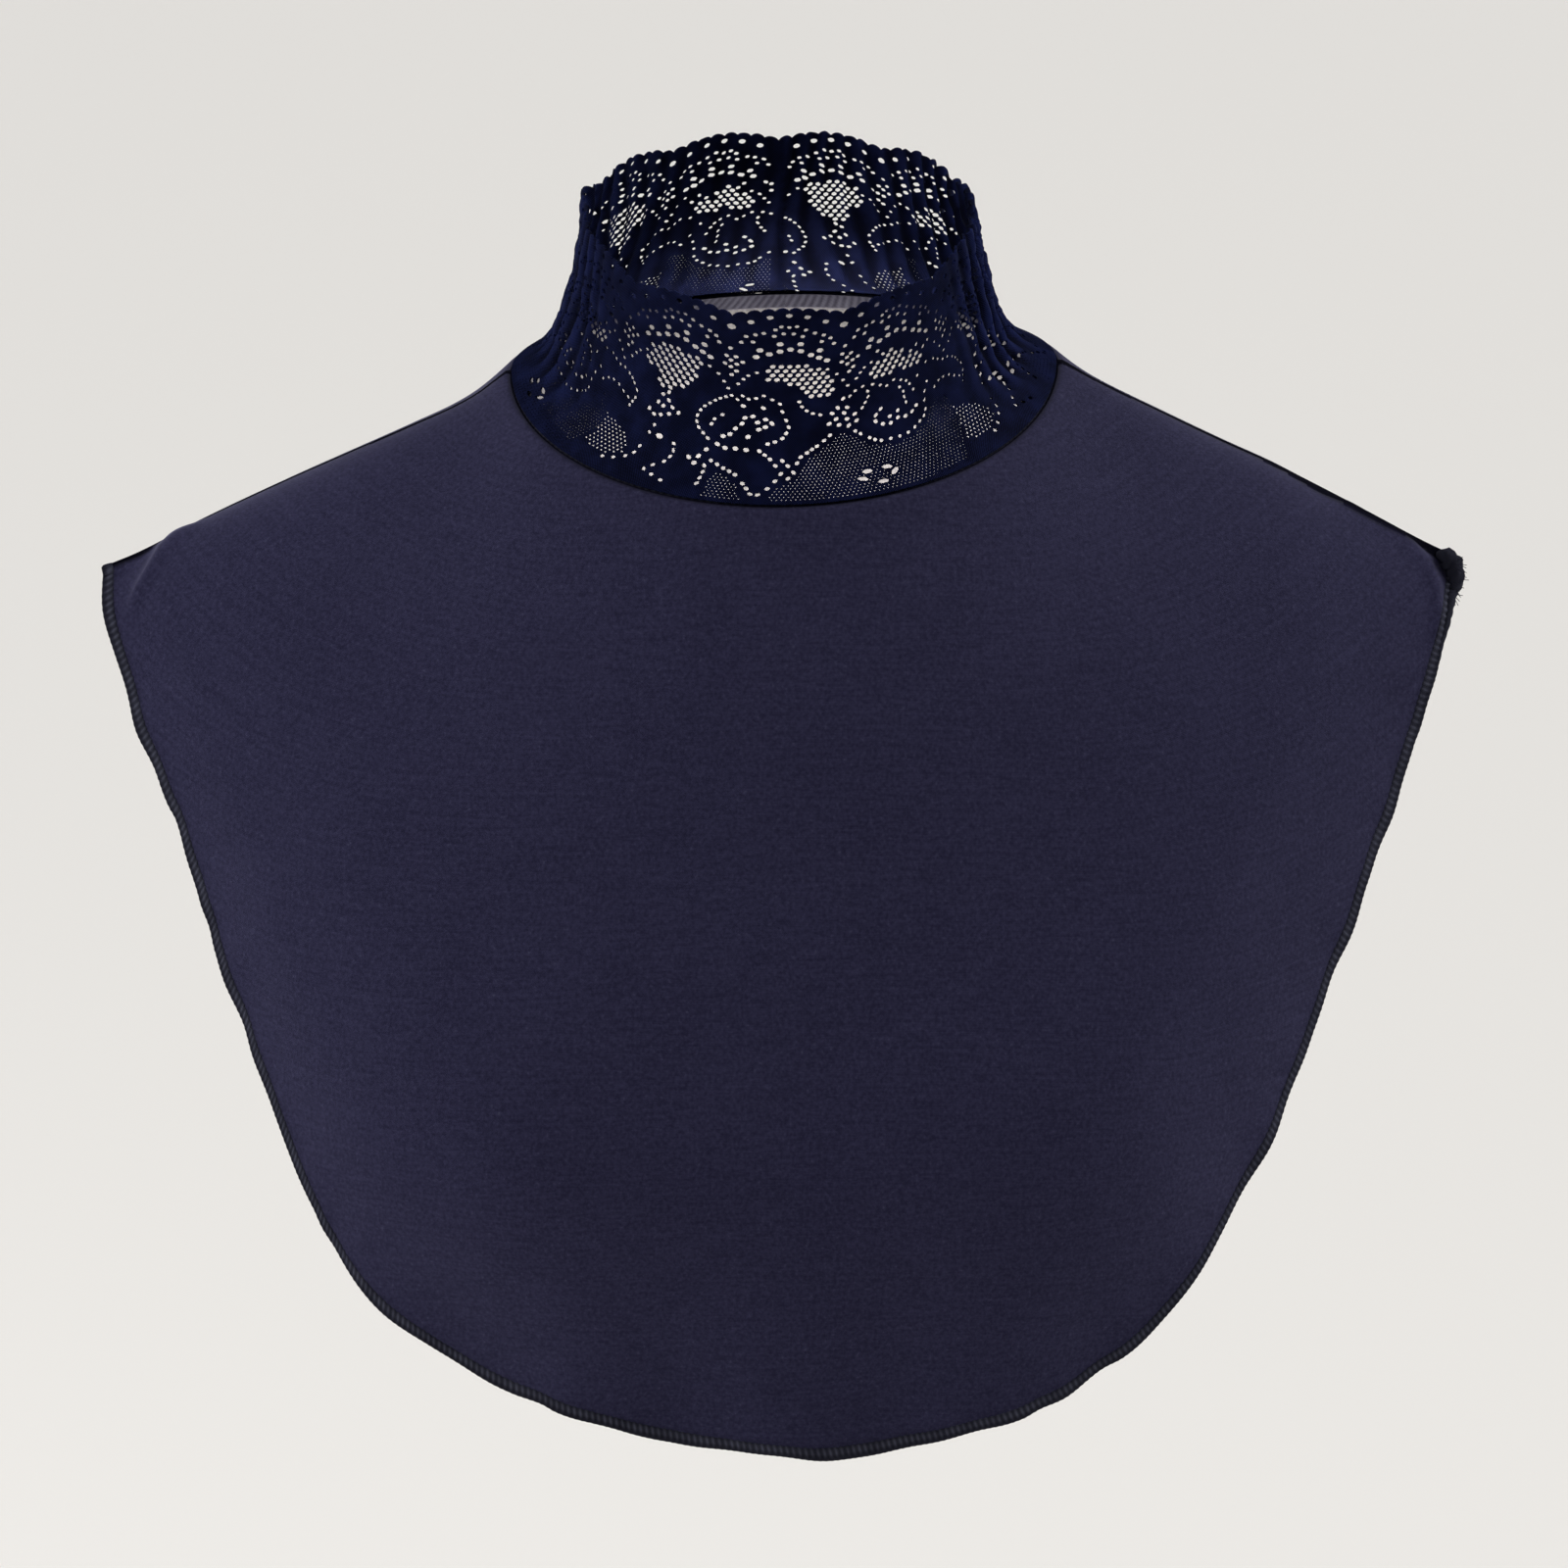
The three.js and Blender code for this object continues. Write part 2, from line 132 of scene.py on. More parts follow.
# The cut, in millimetres: each panel's edge on either side at each drop below the origin, its depth from the
# shoulder line, and how round it folds over the shoulder
neckHalfWidth = 82
neckTilt = 1.4
seamGap = 0.3
jerseyWall = 1.2
collarHeight = 60
frontPanel = {
    "facing": -1,
    "neckRise": -27,
    "neckGap": 0.15,
    "edge": {
        "drop": [63, 81, 113, 145, 177, 209, 242, 259, 279, 293, 303],
        "left": [206, 203, 191, 177, 165.5, 152.5, 138, 127, 102, 70, 32],
        "right": [205, 199.5, 188, 175.5, 162.5, 149, 131.5, 120.5, 101, 77, 43],
        "lowest": (6, -307),
    },
    "profile": {
        "share": [0, 0.12, 0.3, 0.5, 0.68, 0.84, 1],
        "depth": [74, 86, 101, 114, 122, 120, 113],
        "roundness": [0, 0.14, 0.34, 0.45, 0.42, 0.26, 0.09],
    },
}
backPanel = {
    "facing": 1,
    "neckRise": 8,
    "neckGap": 0.3,
    "edge": {
        "drop": [63, 81, 113, 145, 177, 205, 226, 238],
        "left": [206, 197, 181, 166, 150, 127, 92, 48],
        "right": [205, 194, 178, 163, 148, 126, 92, 48],
        "lowest": (0, -241),
    },
    "profile": {
        "share": [0, 0.12, 0.3, 0.5, 0.75, 1],
        "depth": [55, 66, 80, 90, 94, 91],
        "roundness": [0, 0.14, 0.38, 0.5, 0.34, 0.09],
    },
}
shoulderLine = {
    "share": [0, 0.1, 0.25, 0.4, 0.55, 0.75, 0.9, 1],
    "left": [-0.4, -3.4, -2.9, -1.9, -1, -0.4, -0.9, 0],
    "right": [0, -0.6, 0, 0.8, 2, 2.1, 1.8, 2.4],
}
bust = {"across": 82, "drop": 214, "reach": 52, "fullness": 8}
flute = {"depth": 1.6, "pitch": 62, "fromDrop": 225, "toDrop": 300}
flap = {"height": 6.5, "fromLeft": 0.82, "fromRight": 0.5, "changeOver": 0.9}


def readColumn(table, column, value, along="share"):
    # reads a column of a table between its rows, along a smooth curve
    x = np.asarray(table[along], float)
    y = np.asarray(table[column], float)
    last = len(x) - 1
    upper = np.clip(np.searchsorted(x, value), 1, last)
    before = np.maximum(np.arange(last + 1) - 1, 0)
    after = np.minimum(np.arange(last + 1) + 1, last)
    slope = (y[after] - y[before]) / (x[after] - x[before])
    span = x[upper] - x[upper - 1]
    s = (value - x[upper - 1]) / span
    rest = 1 - s
    start = rest ** 2 * ((1 + 2 * s) * y[upper - 1] + s * span * slope[upper - 1])
    end = s ** 2 * ((1 + 2 * rest) * y[upper] - rest * span * slope[upper])
    return start + end


def readSides(table, sideways, value):
    # the left column where sideways is below 0, and the right one elsewhere
    return np.where(sideways < 0, readColumn(table, "left", value), readColumn(table, "right", value))


def smoothStep(value, low, high):
    t = np.clip((value - low) / (high - low), 0, 1)
    return t * t * (3 - 2 * t)


def unit(vectors):
    return vectors / np.linalg.norm(vectors, axis=-1, keepdims=True)


def lengthAlong(points, axis=0):
    # the length so far at each point of a line or a grid
    step = np.linalg.norm(np.diff(points, axis=axis), axis=-1)
    start = np.zeros_like(np.take(step, [0], axis=axis))
    return np.concatenate([start, np.cumsum(step, axis=axis)], axis=axis)


def edgeCurve(edge, stepsPerRow=60):
    # the outline from the left tip, round the lowest point, to the right tip, with its length so far
    drop = -np.asarray(edge["drop"], float)
    left = np.column_stack([-np.asarray(edge["left"], float), drop])
    right = np.column_stack([np.asarray(edge["right"], float), drop])[::-1]
    knots = np.vstack([left, [edge["lowest"]], right])
    count = len(knots) - 1
    place = np.linspace(0, count, count * stepsPerRow + 1)
    i = np.minimum(place.astype(int), count - 1)
    t = (place - i)[:, None]
    a, b = knots[np.maximum(i - 1, 0)], knots[i]
    c, d = knots[i + 1], knots[np.minimum(i + 2, count)]
    v0, v1 = (c - a) / 2, (d - b) / 2
    points = (2 * b - 2 * c + v0 + v1) * t ** 3 + (3 * c - 3 * b - 2 * v0 - v1) * t ** 2 + v0 * t + b
    length = lengthAlong(points)
    return {"points": points, "length": length, "middle": length[len(left) * stepsPerRow]}


for panel in (frontPanel, backPanel):
    panel["curve"] = edgeCurve(panel["edge"])


def edgePoint(panel, angle):
    # the angle runs from a quarter turn left at one tip to a quarter turn right at the other
    curve = panel["curve"]
    share = angle / quarterTurn
    middle, whole = curve["middle"], curve["length"][-1]
    at = np.where(share < 0, middle * (1 + share), middle + (whole - middle) * share)
    return tuple(np.interp(at, curve["length"], curve["points"][:, k]) for k in (0, 1))


def panelPoint(panel, angle, share):
    # a point of a panel's outer face, in millimetres: share runs from the neckline to the hem
    angle, share = np.broadcast_arrays(np.asarray(angle, float), np.asarray(share, float))
    inward = np.maximum(np.cos(angle), 0)
    edgeX, edgeZ = edgePoint(panel, angle)
    nearLine = (1 - np.cos(angle)) ** 3
    bow = readSides(shoulderLine, angle, np.minimum(share, 1))
    x = neckHalfWidth * np.sin(angle) * (1 - share) + edgeX * share
    z = (panel["neckRise"] * inward + neckTilt * np.sin(angle)) * (1 - share) + edgeZ * share + bow * nearLine
    depth = readColumn(panel["profile"], "depth", share)
    roundness = readColumn(panel["profile"], "roundness", share)
    toRight = smoothStep(angle, -flap["changeOver"], flap["changeOver"])
    flapFrom = flap["fromLeft"] + (flap["fromRight"] - flap["fromLeft"]) * toRight
    halfEdge = panel["curve"]["length"][-1] / 2
    flapWidth = flap["height"] / halfEdge * quarterTurn * smoothStep(share, flapFrom, 1)
    beyond = np.hypot(inward, flapWidth) - flapWidth
    folded = np.sqrt((beyond ** 2 + 2 * roundness * beyond) / (1 + 2 * roundness))
    out = depth * folded
    if panel is frontPanel:
        sideways = (np.abs(x) - bust["across"]) / bust["reach"]
        upwards = (z + bust["drop"]) / bust["reach"]
        out = out + bust["fullness"] * np.exp(-sideways ** 2 - upwards ** 2)
        hanging = smoothStep(-z, flute["fromDrop"], flute["toDrop"])
        out = out + hanging * flute["depth"] * np.cos(2 * math.pi * x / flute["pitch"])
    return np.stack([x, panel["facing"] * (out + seamGap / 2), z], -1)


def normalsOf(surface, first, second, facing=1):
    step = 1e-4
    along = surface(first + step, second) - surface(first - step, second)
    across = surface(first, second + step) - surface(first, second - step)
    return facing * unit(np.cross(along, across))


def panelNormal(panel, angle, share):
    # on the shoulder line the cloth stands upright, so that front and back meet in a flat seam
    seamAngle = 0.01
    limit = quarterTurn - seamAngle
    inside = np.clip(angle, -limit, limit)
    normal = normalsOf(lambda a, s: panelPoint(panel, a, s), inside, share, panel["facing"])
    onLine = np.broadcast_to(np.abs(angle) > limit, normal.shape[:-1])
    normal[onLine, 1] = 0
    return unit(normal)


def wayDown(panel, angle):
    # how far it is from the neckline to the hem, in millimetres
    return np.linalg.norm(panelPoint(panel, angle, 1.0) - panelPoint(panel, angle, 0.0), axis=-1)


def cellsOf(grid):
    return np.stack([grid[:-1, :-1], grid[:-1, 1:], grid[1:, 1:], grid[1:, :-1]], -1).reshape(-1, 4)


def wallFaces(rows, columns, closedRound=False):
    # the faces of a closed wall: an outer grid of points, then an inner one
    total = rows * columns
    grid = np.arange(total).reshape(rows, columns)
    if closedRound:
        grid = np.hstack([grid, grid[:, :1]])
    cells = cellsOf(grid)
    lines = [grid[0], grid[-1][::-1]]
    if not closedRound:
        lines += [grid[::-1, 0], grid[:, -1]]
    rims = [np.stack([n[1:], n[:-1], n[:-1] + total, n[1:] + total], -1) for n in lines]
    return np.vstack([cells, cells[:, ::-1] + total, *rims])


def tubeFaces(grid):
    # the faces of a closed tube, with its rings in the grid's rows and a cap at each end
    cells = cellsOf(np.hstack([grid, grid[:, :1]]))
    return cells.tolist() + [grid[0, ::-1].tolist(), grid[-1].tolist()]


def newPiece(name, points, faces, uv, material, marks, sharpAbove=55):
    # points in millimetres, a pair of UV lengths in millimetres for each, and marks for the material
    mesh = bpy.data.meshes.new(name)
    mesh.from_pydata((np.reshape(points, (-1, 3)) * mm).tolist(), [], [list(face) for face in faces])
    mesh.update()
    for label, values in marks.items():
        mark = mesh.attributes.new(label, "FLOAT", "POINT")
        mark.data.foreach_set("value", np.asarray(values, np.float32).ravel())
    corners = np.zeros(len(mesh.loops), np.int32)
    mesh.loops.foreach_get("vertex_index", corners)
    layer = mesh.uv_layers.new(name="cloth")
    layer.data.foreach_set("uv", (np.reshape(uv, (-1, 2))[corners] * mm).astype(np.float32).ravel())
    sides = np.array([(*(face.normal * face.area), *face.center) for face in mesh.polygons])
    if (sides[:, :3] * sides[:, 3:]).sum() < 0:
        mesh.flip_normals()
    mesh.shade_smooth()
    mesh.set_sharp_from_angle(angle=math.radians(sharpAbove))
    mesh.materials.append(material)
    piece = bpy.data.objects.new(name, mesh)
    bpy.context.scene.collection.objects.link(piece)
    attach(piece, "root")
    print(name, "has", sum(len(face.vertices) - 2 for face in mesh.polygons), "triangles")
    return piece


# Small helpers for shader nodes
def feed(tree, socket, value):
    # links another node's output to a socket, or sets the socket's own value
    if isinstance(value, bpy.types.NodeSocket):
        tree.links.new(value, socket)
    else:
        socket.default_value = value


def addNode(tree, kind, inputs, **settings):
    node = tree.nodes.new(kind)
    for name, value in settings.items():
        setattr(node, name, value)
    for key, value in inputs.items():
        feed(tree, node.inputs[key], value)
    return node.outputs


def calc(tree, operation, first, second=0.0, third=0.0):
    return addNode(tree, "ShaderNodeMath", {0: first, 1: second, 2: third}, operation=operation)[0]


def addNoise(tree, vector, scale, detail, roughness):
    return addNode(tree, "ShaderNodeTexNoise", {
        "Vector": vector, "Scale": scale, "Detail": detail, "Roughness": roughness})[0]


def addMark(tree, name):
    return addNode(tree, "ShaderNodeAttribute", {}, attribute_name=name)["Fac"]


def addGroup(tree, group, inputs):
    return addNode(tree, "ShaderNodeGroup", inputs, node_tree=group)


def mixColors(tree, factor, first, second):
    # inputs 0, 6 and 7 are the factor and the two colours, and output 2 is the mixed colour
    return addNode(tree, "ShaderNodeMix", {0: factor, 6: first, 7: second}, data_type="RGBA")[2]


def newGroup(name, inputs, outputs):
    # a node group with a vector input where no value is given, a number elsewhere
    group = bpy.data.node_groups.new(name, "ShaderNodeTree")
    for label, value in inputs.items():
        kind = "NodeSocketVector" if value is None else "NodeSocketFloat"
        socket = group.interface.new_socket(label, in_out="INPUT", socket_type=kind)
        if value is not None:
            socket.default_value = value
    for label in outputs:
        group.interface.new_socket(label, in_out="OUTPUT", socket_type="NodeSocketFloat")
    return group, group.nodes.new("NodeGroupInput").outputs, group.nodes.new("NodeGroupOutput").inputs


def knitGroup():
    # chevron stitches of a fine single jersey: columns of loops, each loop two slanting legs
    legSlant, legRound, shadeDepth = 1.3, 0.6, 0.6
    group, given, result = newGroup(
        "knitStitches", {"Vector": None, "Wale": 0.0006, "Course": 0.0005}, ["Height", "Shade"])
    split = addNode(group, "ShaderNodeSeparateXYZ", {0: given["Vector"]})
    wale = calc(group, "FRACT", calc(group, "DIVIDE", split[0], given["Wale"]))
    leg = calc(group, "ABSOLUTE", calc(group, "SUBTRACT", wale, 0.5))
    slant = calc(group, "MULTIPLY_ADD", leg, legSlant, calc(group, "DIVIDE", split[1], given["Course"]))
    loop = calc(group, "SINE", calc(group, "MULTIPLY", calc(group, "FRACT", slant), math.pi))
    side = calc(group, "SINE", calc(group, "MULTIPLY", leg, 2 * math.pi))
    height = calc(group, "MULTIPLY", loop, calc(group, "MULTIPLY_ADD", side, legRound, 1 - legRound))
    feed(group, result["Height"], height)
    feed(group, result["Shade"], calc(group, "MULTIPLY_ADD", height, shadeDepth, 1 - shadeDepth))
    return group


def fuzzGroup():
    # uneven dye and stray fibres: a slow patchy tone, and a fine speckle of lint
    lintFrom, lintFull = 0.66, 0.8
    group, given, result = newGroup(
        "fibreFuzz", {"Vector": None, "Patch": 30.0, "Speckle": 900.0}, ["Tone", "Lint", "Grain"])
    fine = addNoise(group, given["Vector"], given["Speckle"], detail=2.0, roughness=0.7)
    lint = addNode(group, "ShaderNodeMapRange", {"Value": fine, "From Min": lintFrom, "From Max": lintFull})
    feed(group, result["Tone"], addNoise(group, given["Vector"], given["Patch"], detail=4.0, roughness=0.6))
    feed(group, result["Lint"], lint[0])
    feed(group, result["Grain"], fine)
    return group


def threadGroup():
    # twisted yarn: fine slanting ridges across a thread's length
    group, given, result = newGroup(
        "threadTwist", {"Vector": None, "Pitch": 0.0004, "Slant": 0.8}, ["Height"])
    split = addNode(group, "ShaderNodeSeparateXYZ", {0: given["Vector"]})
    along = calc(group, "MULTIPLY_ADD", split[1], given["Slant"], split[0])
    turns = calc(group, "MULTIPLY", calc(group, "DIVIDE", along, given["Pitch"]), 2 * math.pi)
    feed(group, result["Height"], calc(group, "MULTIPLY_ADD", calc(group, "SINE", turns), 0.5, 0.5))
    return group


knitStitches = knitGroup()
fibreFuzz = fuzzGroup()
threadTwist = threadGroup()


def clothBase(name, look):
    # a material with its look's constants, the cloth's own map and the fuzz that all the cloths share
    material, shader = newMaterial(name, look["shader"])
    tree = material.node_tree
    uv = addNode(tree, "ShaderNodeUVMap", {}, uv_map="cloth")[0]
    place = addNode(tree, "ShaderNodeTexCoord", {})["Object"]
    fuzz = addGroup(tree, fibreFuzz, {"Vector": place, "Patch": look["patch"], "Speckle": look["speckle"]})
    return material, tree, shader, uv, fuzz


def finishCloth(tree, shader, look, color, relief, fuzz):
    # the colour, and a bump from the relief and the fuzz's grain
    height = calc(tree, "MULTIPLY_ADD", fuzz["Grain"], look["grainHeight"], relief)
    bump = addNode(tree, "ShaderNodeBump", {
        "Height": height, "Strength": look["bump"], "Distance": look["bumpDepth"]})
    feed(tree, shader.inputs["Base Color"], color)
    feed(tree, shader.inputs["Normal"], bump[0])


# Two colours for each side of the cloth, and how strong each pattern is between them
jerseyLook = {
    "deep": (0.0128, 0.0121, 0.0345, 1), "pale": (0.0272, 0.0260, 0.0630, 1),
    "wrongDeep": (0.043, 0.044, 0.054, 1), "wrongPale": (0.072, 0.074, 0.085, 1),
    # seam is the near-black of the painted shade at the neckline and along the shoulder line, fainter beside
    # the hem
    "seam": (0.0015, 0.0015, 0.0050, 1), "lint": (0.08, 0.085, 0.13, 1), "lintShare": 0.3,
    "patches": 0.5, "bars": 1.1, "grain": 2.5, "knit": 0.6, "knitMiddle": 0.68,
    "barScale": (70.0, 900.0, 1.0), "patch": 26.0, "speckle": 850.0, "wale": 0.00062, "course": 0.00048,
    "bump": 0.22, "bumpDepth": 0.00012, "grainHeight": 0.5,
    "shader": {"Roughness": 0.9, "Specular IOR Level": 0.09, "Sheen Weight": 0.54, "Sheen Roughness": 0.34,
               "Sheen Tint": (0.6, 0.6, 0.85, 1)},
}
# a shaded copy of the jersey with no sheen, for the painted shade at the neckline and along the shoulder line
paintedShadeShader = {**jerseyLook["shader"], "Sheen Weight": 0.02, "Specular IOR Level": 0.03}
paintedShadeLook = {**jerseyLook, "shader": paintedShadeShader}


def jerseyMaterial(name, look):
    material, tree, shader, uv, fuzz = clothBase(name, look)
    knit = addGroup(tree, knitStitches, {"Vector": uv, "Wale": look["wale"], "Course": look["course"]})
    stretched = addNode(tree, "ShaderNodeMapping", {"Vector": uv, "Scale": look["barScale"]})[0]
    bars = addNoise(tree, stretched, scale=1.0, detail=3.0, roughness=0.65)
    # each of the four patterns is centred, so that together they stay round the middle of the two colours
    tone = 0.5
    for pattern, middle, strength in (
            (fuzz["Tone"], 0.5, "patches"), (bars, 0.5, "bars"), (fuzz["Grain"], 0.5, "grain"),
            (knit["Shade"], look["knitMiddle"], "knit")):
        tone = calc(tree, "MULTIPLY_ADD", calc(tree, "SUBTRACT", pattern, middle), look[strength], tone)
    right = mixColors(tree, tone, look["deep"], look["pale"])
    wrong = mixColors(tree, tone, look["wrongDeep"], look["wrongPale"])
    cloth = mixColors(tree, addMark(tree, "wrongSide"), right, wrong)
    # painted shade: darkened towards the seam colour where the panel's shade mark is high
    cloth = mixColors(tree, addMark(tree, "paintedShade"), cloth, look["seam"])
    cloth = mixColors(tree, calc(tree, "MULTIPLY", fuzz["Lint"], look["lintShare"]), cloth, look["lint"])
    finishCloth(tree, shader, look, cloth, knit["Height"], fuzz)
    return material


# Lace and thread: the pitch and slant of each twist in the yarn, and how much the piece's own mark adds (on
# the lace: painted highlight on fold ridges, painted shade in the valleys)
laceLook = {
    "deep": (0.0006, 0.0009, 0.0045, 1), "pale": (0.0092, 0.0136, 0.0620, 1),
    "twists": [(0.00055, 0.7), (0.00075, -1.4)], "patch": 110.0, "speckle": 1500.0,
    "yarn": 0.5, "patches": 0.6, "contrast": 2.0, "lift": -0.57, "marked": 0.8,
    "bump": 0.5, "bumpDepth": 0.0002, "grainHeight": 0.6,
    "shader": {"Roughness": 0.7, "Specular IOR Level": 0.02, "Sheen Weight": 0.03, "Sheen Roughness": 0.4,
               "Sheen Tint": (0.25, 0.35, 1.0, 1)},
}
threadLook = {
    "deep": (0.0030, 0.0030, 0.0080, 1), "pale": (0.0660, 0.0690, 0.1010, 1),
    "twists": [(0.00034, 0.45)], "patch": 60.0, "speckle": 1200.0,
    "yarn": 0.3, "patches": 0.3, "contrast": 1.0, "lift": -0.22, "marked": 0.82,
    "bump": 0.6, "bumpDepth": 0.0002, "grainHeight": 0.4,
    "shader": {"Roughness": 0.8, "Specular IOR Level": 0.05, "Sheen Weight": 0.04, "Sheen Roughness": 0.4,
               "Sheen Tint": (0.6, 0.62, 0.9, 1)},
}


def yarnMaterial(name, look, mark):
    material, tree, shader, uv, fuzz = clothBase(name, look)
    yarn = 1.0
    for pitch, slant in look["twists"]:
        twist = addGroup(tree, threadTwist, {"Vector": uv, "Pitch": pitch, "Slant": slant})["Height"]
        yarn = calc(tree, "MULTIPLY", yarn, twist)
    tone = calc(tree, "MULTIPLY", fuzz["Tone"], look["patches"])
    tone = calc(tree, "MULTIPLY_ADD", yarn, look["yarn"], tone)
    tone = calc(tree, "MULTIPLY_ADD", tone, look["contrast"], look["lift"])
    tone = calc(tree, "MULTIPLY_ADD", addMark(tree, mark), look["marked"], tone)
    finishCloth(tree, shader, look, mixColors(tree, tone, look["deep"], look["pale"]), yarn, fuzz)
    return material


jersey = jerseyMaterial("navy_jersey", jerseyLook)
paintedShadeJersey = jerseyMaterial("navy_jersey_painted_shade", paintedShadeLook)
# the lace's fold mark paints highlight on the fold ridges and shade in their valleys
lace = yarnMaterial("navy_lace", laceLook, "foldAndPaintedShade")
edgeThread = yarnMaterial("edge_thread", threadLook, "rung")
print("materials ready")

# Panels: a fine wall on the cut's surface. Reaches and rolls are in millimetres, and a pair says between
# which distances from an edge something grows or fades
panelBuild = {
    "columns": 300, "spread": 0.62, "nearRidge": [0.0001, 0.0006, 0.0022, 0.0044, 0.0098],
    "frontRows": 148, "backRows": 84, "closeRows": [0, 0.25, 0.6, 1.2, 2.2], "underHem": 1.43,
    "waveReach": 13.0, "wanderReach": 7.0, "neckHollow": 84,
    "edgeRoll": 0.8, "innerRoll": 0.15, "edgeRollReach": 0.8, "wrongSide": (0.3, 2.0),
    "neckShade": 0.7, "ridgeShade": (0.8, 1.2), "hemShade": 0.22, "hemShadeFade": (3.7, 5.7),
    "paintedShadeFrom": 0.5, "paintedShadeShare": 0.6,
}
# How far the painted shade reaches from the shoulder line, in millimetres of depth
shoulderShade = {
    "share": [0, 0.3, 0.45, 0.6, 0.72, 0.84, 0.93, 1],
    "left": [1.6, 1.8, 1.8, 1.8, 1.6, 1.4, 1.2, 1],
    "right": [2.4, 2.6, 3.2, 5, 5.2, 3.4, 2, 1.2],
}
# Creases where the cloth folds over the ends of the shoulders and falls away: x and z on the front panel
creases = {
    "left": {
        "path": [(-172, -46), (-178, -49.2), (-183, -52.8), (-186.8, -56.4), (-189, -59.8), (-191.4, -63.8),
                 (-194, -68), (-196.6, -73), (-199, -78)],
        "outside": -1, "height": 1.45, "width": 1.7, "fall": 1.0, "fallReach": 7, "fadeIn": 0.24,
    },
    "right": {
        "path": [(160, -38.6), (170.6, -43.8), (182.2, -50.4), (188.8, -55.6), (193.6, -61), (196, -66.5),
                 (196.8, -73), (196, -79), (193.8, -85), (191.5, -91)],
        "outside": 1, "height": 0.95, "width": 2.0, "fall": 1.4, "fallReach": 5, "fadeIn": 0.12,
    },
    "fadeOut": 0.3, "fromRidge": (0.3, 1.6),
}
# How far the front hem lies outside the cut's outline, in millimetres, at degrees from the lowest point
hemLine = {
    "degrees": [-90, -86.8, -82.5, -78.8, -75.5, -72.8, -71.5, -65.8, -63.8, -62.2, -56.8, -54.2, -49.2,
                -45.8, -42.5, -41, -39, -33.8, -29.5, -22.3, -20, -19, -14.7, -10.7, -2.7, 4.3, 13.5, 17.3,
                18.8, 21, 24.3, 26.2, 39.7, 46.7, 50.5, 53.8, 58.8, 63.5, 66, 71.5, 76.5, 78, 80, 83, 86, 90],
    "out": [0, 0.8, -0.1, 0.8, -0.5, 0.1, -0.3, 1.4, 0.4, 1.2, 0.3, 1.2, 0.3, 1.1, -0.4, 0.3, -0.3, 1.1, -0.3,
            1.4, 0.6, 0.9, 0.2, 1.6, -0.2, 2.1, 0.1, 1, 0.4, 1.1, 0, 0.6, -0.4, 1, -0.2, 0.5, 0, 0.8, 0.3,
            1.3, 0.4, 0.8, 0.1, 0.8, 0.3, 0],
}
# Waves along the hem: millimetres high, waves in a radian, start, then the size, count and start of the sway
hemWaves = {
    "front": [(0.405, 23, 1.3, 0, 0, 0), (0.27, 41, 0.4, 0, 0, 0), (0.225, 67, 0, 2.2, 5, 0)],
    "back": [(0.405, 23, 3.4, 0, 0, 0), (0.27, 41, 4.6, 0, 0, 0), (0.225, 67, 2.1, 2.2, 5, 0)],
    "backOutline": [(0.189, 58, 2.2, 0, 0, 0), (0.147, 97, 2.8, 2.5, 7, 0), (0.084, 151, 0, 3, 11, 1.4)],
    "fade": 0.05, "outlineFade": 0.04,
}


def panelAngles(count):
    place = np.linspace(-1, 1, count + 1)
    fromTip = 1 - np.abs(place)
    spread = panelBuild["spread"] * fromTip + (1 - panelBuild["spread"]) * fromTip ** 2
    close = quarterTurn - np.array(panelBuild["nearRidge"])
    return np.sort(np.concatenate([np.sign(place) * quarterTurn * (1 - spread), close, -close]))


def creaseLift(points):
    # how far the creases raise the front panel's surface
    x, out, z = points[..., 0], np.abs(points[..., 1]), points[..., 2]
    lift = np.zeros_like(x)
    for crease in (creases["left"], creases["right"]):
        path = crease["path"]
        nearest, side, place = np.full(x.shape, np.inf), np.zeros_like(x), np.zeros_like(x)
        for k, ((x0, z0), (x1, z1)) in enumerate(zip(path[:-1], path[1:])):
            dx, dz = x1 - x0, z1 - z0
            t = np.clip(((x - x0) * dx + (z - z0) * dz) / (dx * dx + dz * dz), 0, 1)
            away = np.hypot(x - x0 - t * dx, z - z0 - t * dz)
            closer = away < nearest
            nearest = np.where(closer, away, nearest)
            side = np.where(closer, np.sign(dx * (z - z0) - dz * (x - x0)), side)
            place = np.where(closer, (k + t) / (len(path) - 1), place)
        ends = smoothStep(place, 0, crease["fadeIn"]) * (1 - smoothStep(place, 1 - creases["fadeOut"], 1))
        beyond = np.where(side == crease["outside"], nearest, 0)
        ridge = crease["height"] * np.exp(-(nearest / crease["width"]) ** 2)
        lift += ends * (ridge - crease["fall"] * smoothStep(beyond, 0, crease["fallReach"]))
    return lift * smoothStep(out, *creases["fromRidge"])


def wavesAlong(angle, waves, fade):
    # a sum of waves along the hem, never quite regular, that dies out at the tips
    total = 0
    for height, count, start, sway, swayCount, swayStart in waves:
        total = total + height * np.sin(count * angle + start + sway * np.sin(swayCount * angle + swayStart))
    return total * (1 - np.exp(-(quarterTurn - np.abs(angle)) / fade))


def drapedPoint(panel, angle, share, height):
    # a point at some height above the outer face, with the hem's waves in it
    if panel is frontPanel:
        stray = readColumn(hemLine, "out", np.degrees(angle), "degrees")
    else:
        stray = wavesAlong(angle, hemWaves["backOutline"], hemWaves["outlineFade"])
    wave = wavesAlong(angle, hemWaves["front" if panel is frontPanel else "back"], hemWaves["fade"])
    way = wayDown(panel, angle)
    fromHem = np.maximum(1 - share, 0) * way
    share = share + stray * np.exp(-fromHem / panelBuild["wanderReach"]) / way
    base = panelPoint(panel, angle, share)
    lift = wave * np.exp(-fromHem / panelBuild["waveReach"]) + height
    if panel is frontPanel:
        lift = lift + creaseLift(base)
    return base + panelNormal(panel, angle, share) * lift[..., None]


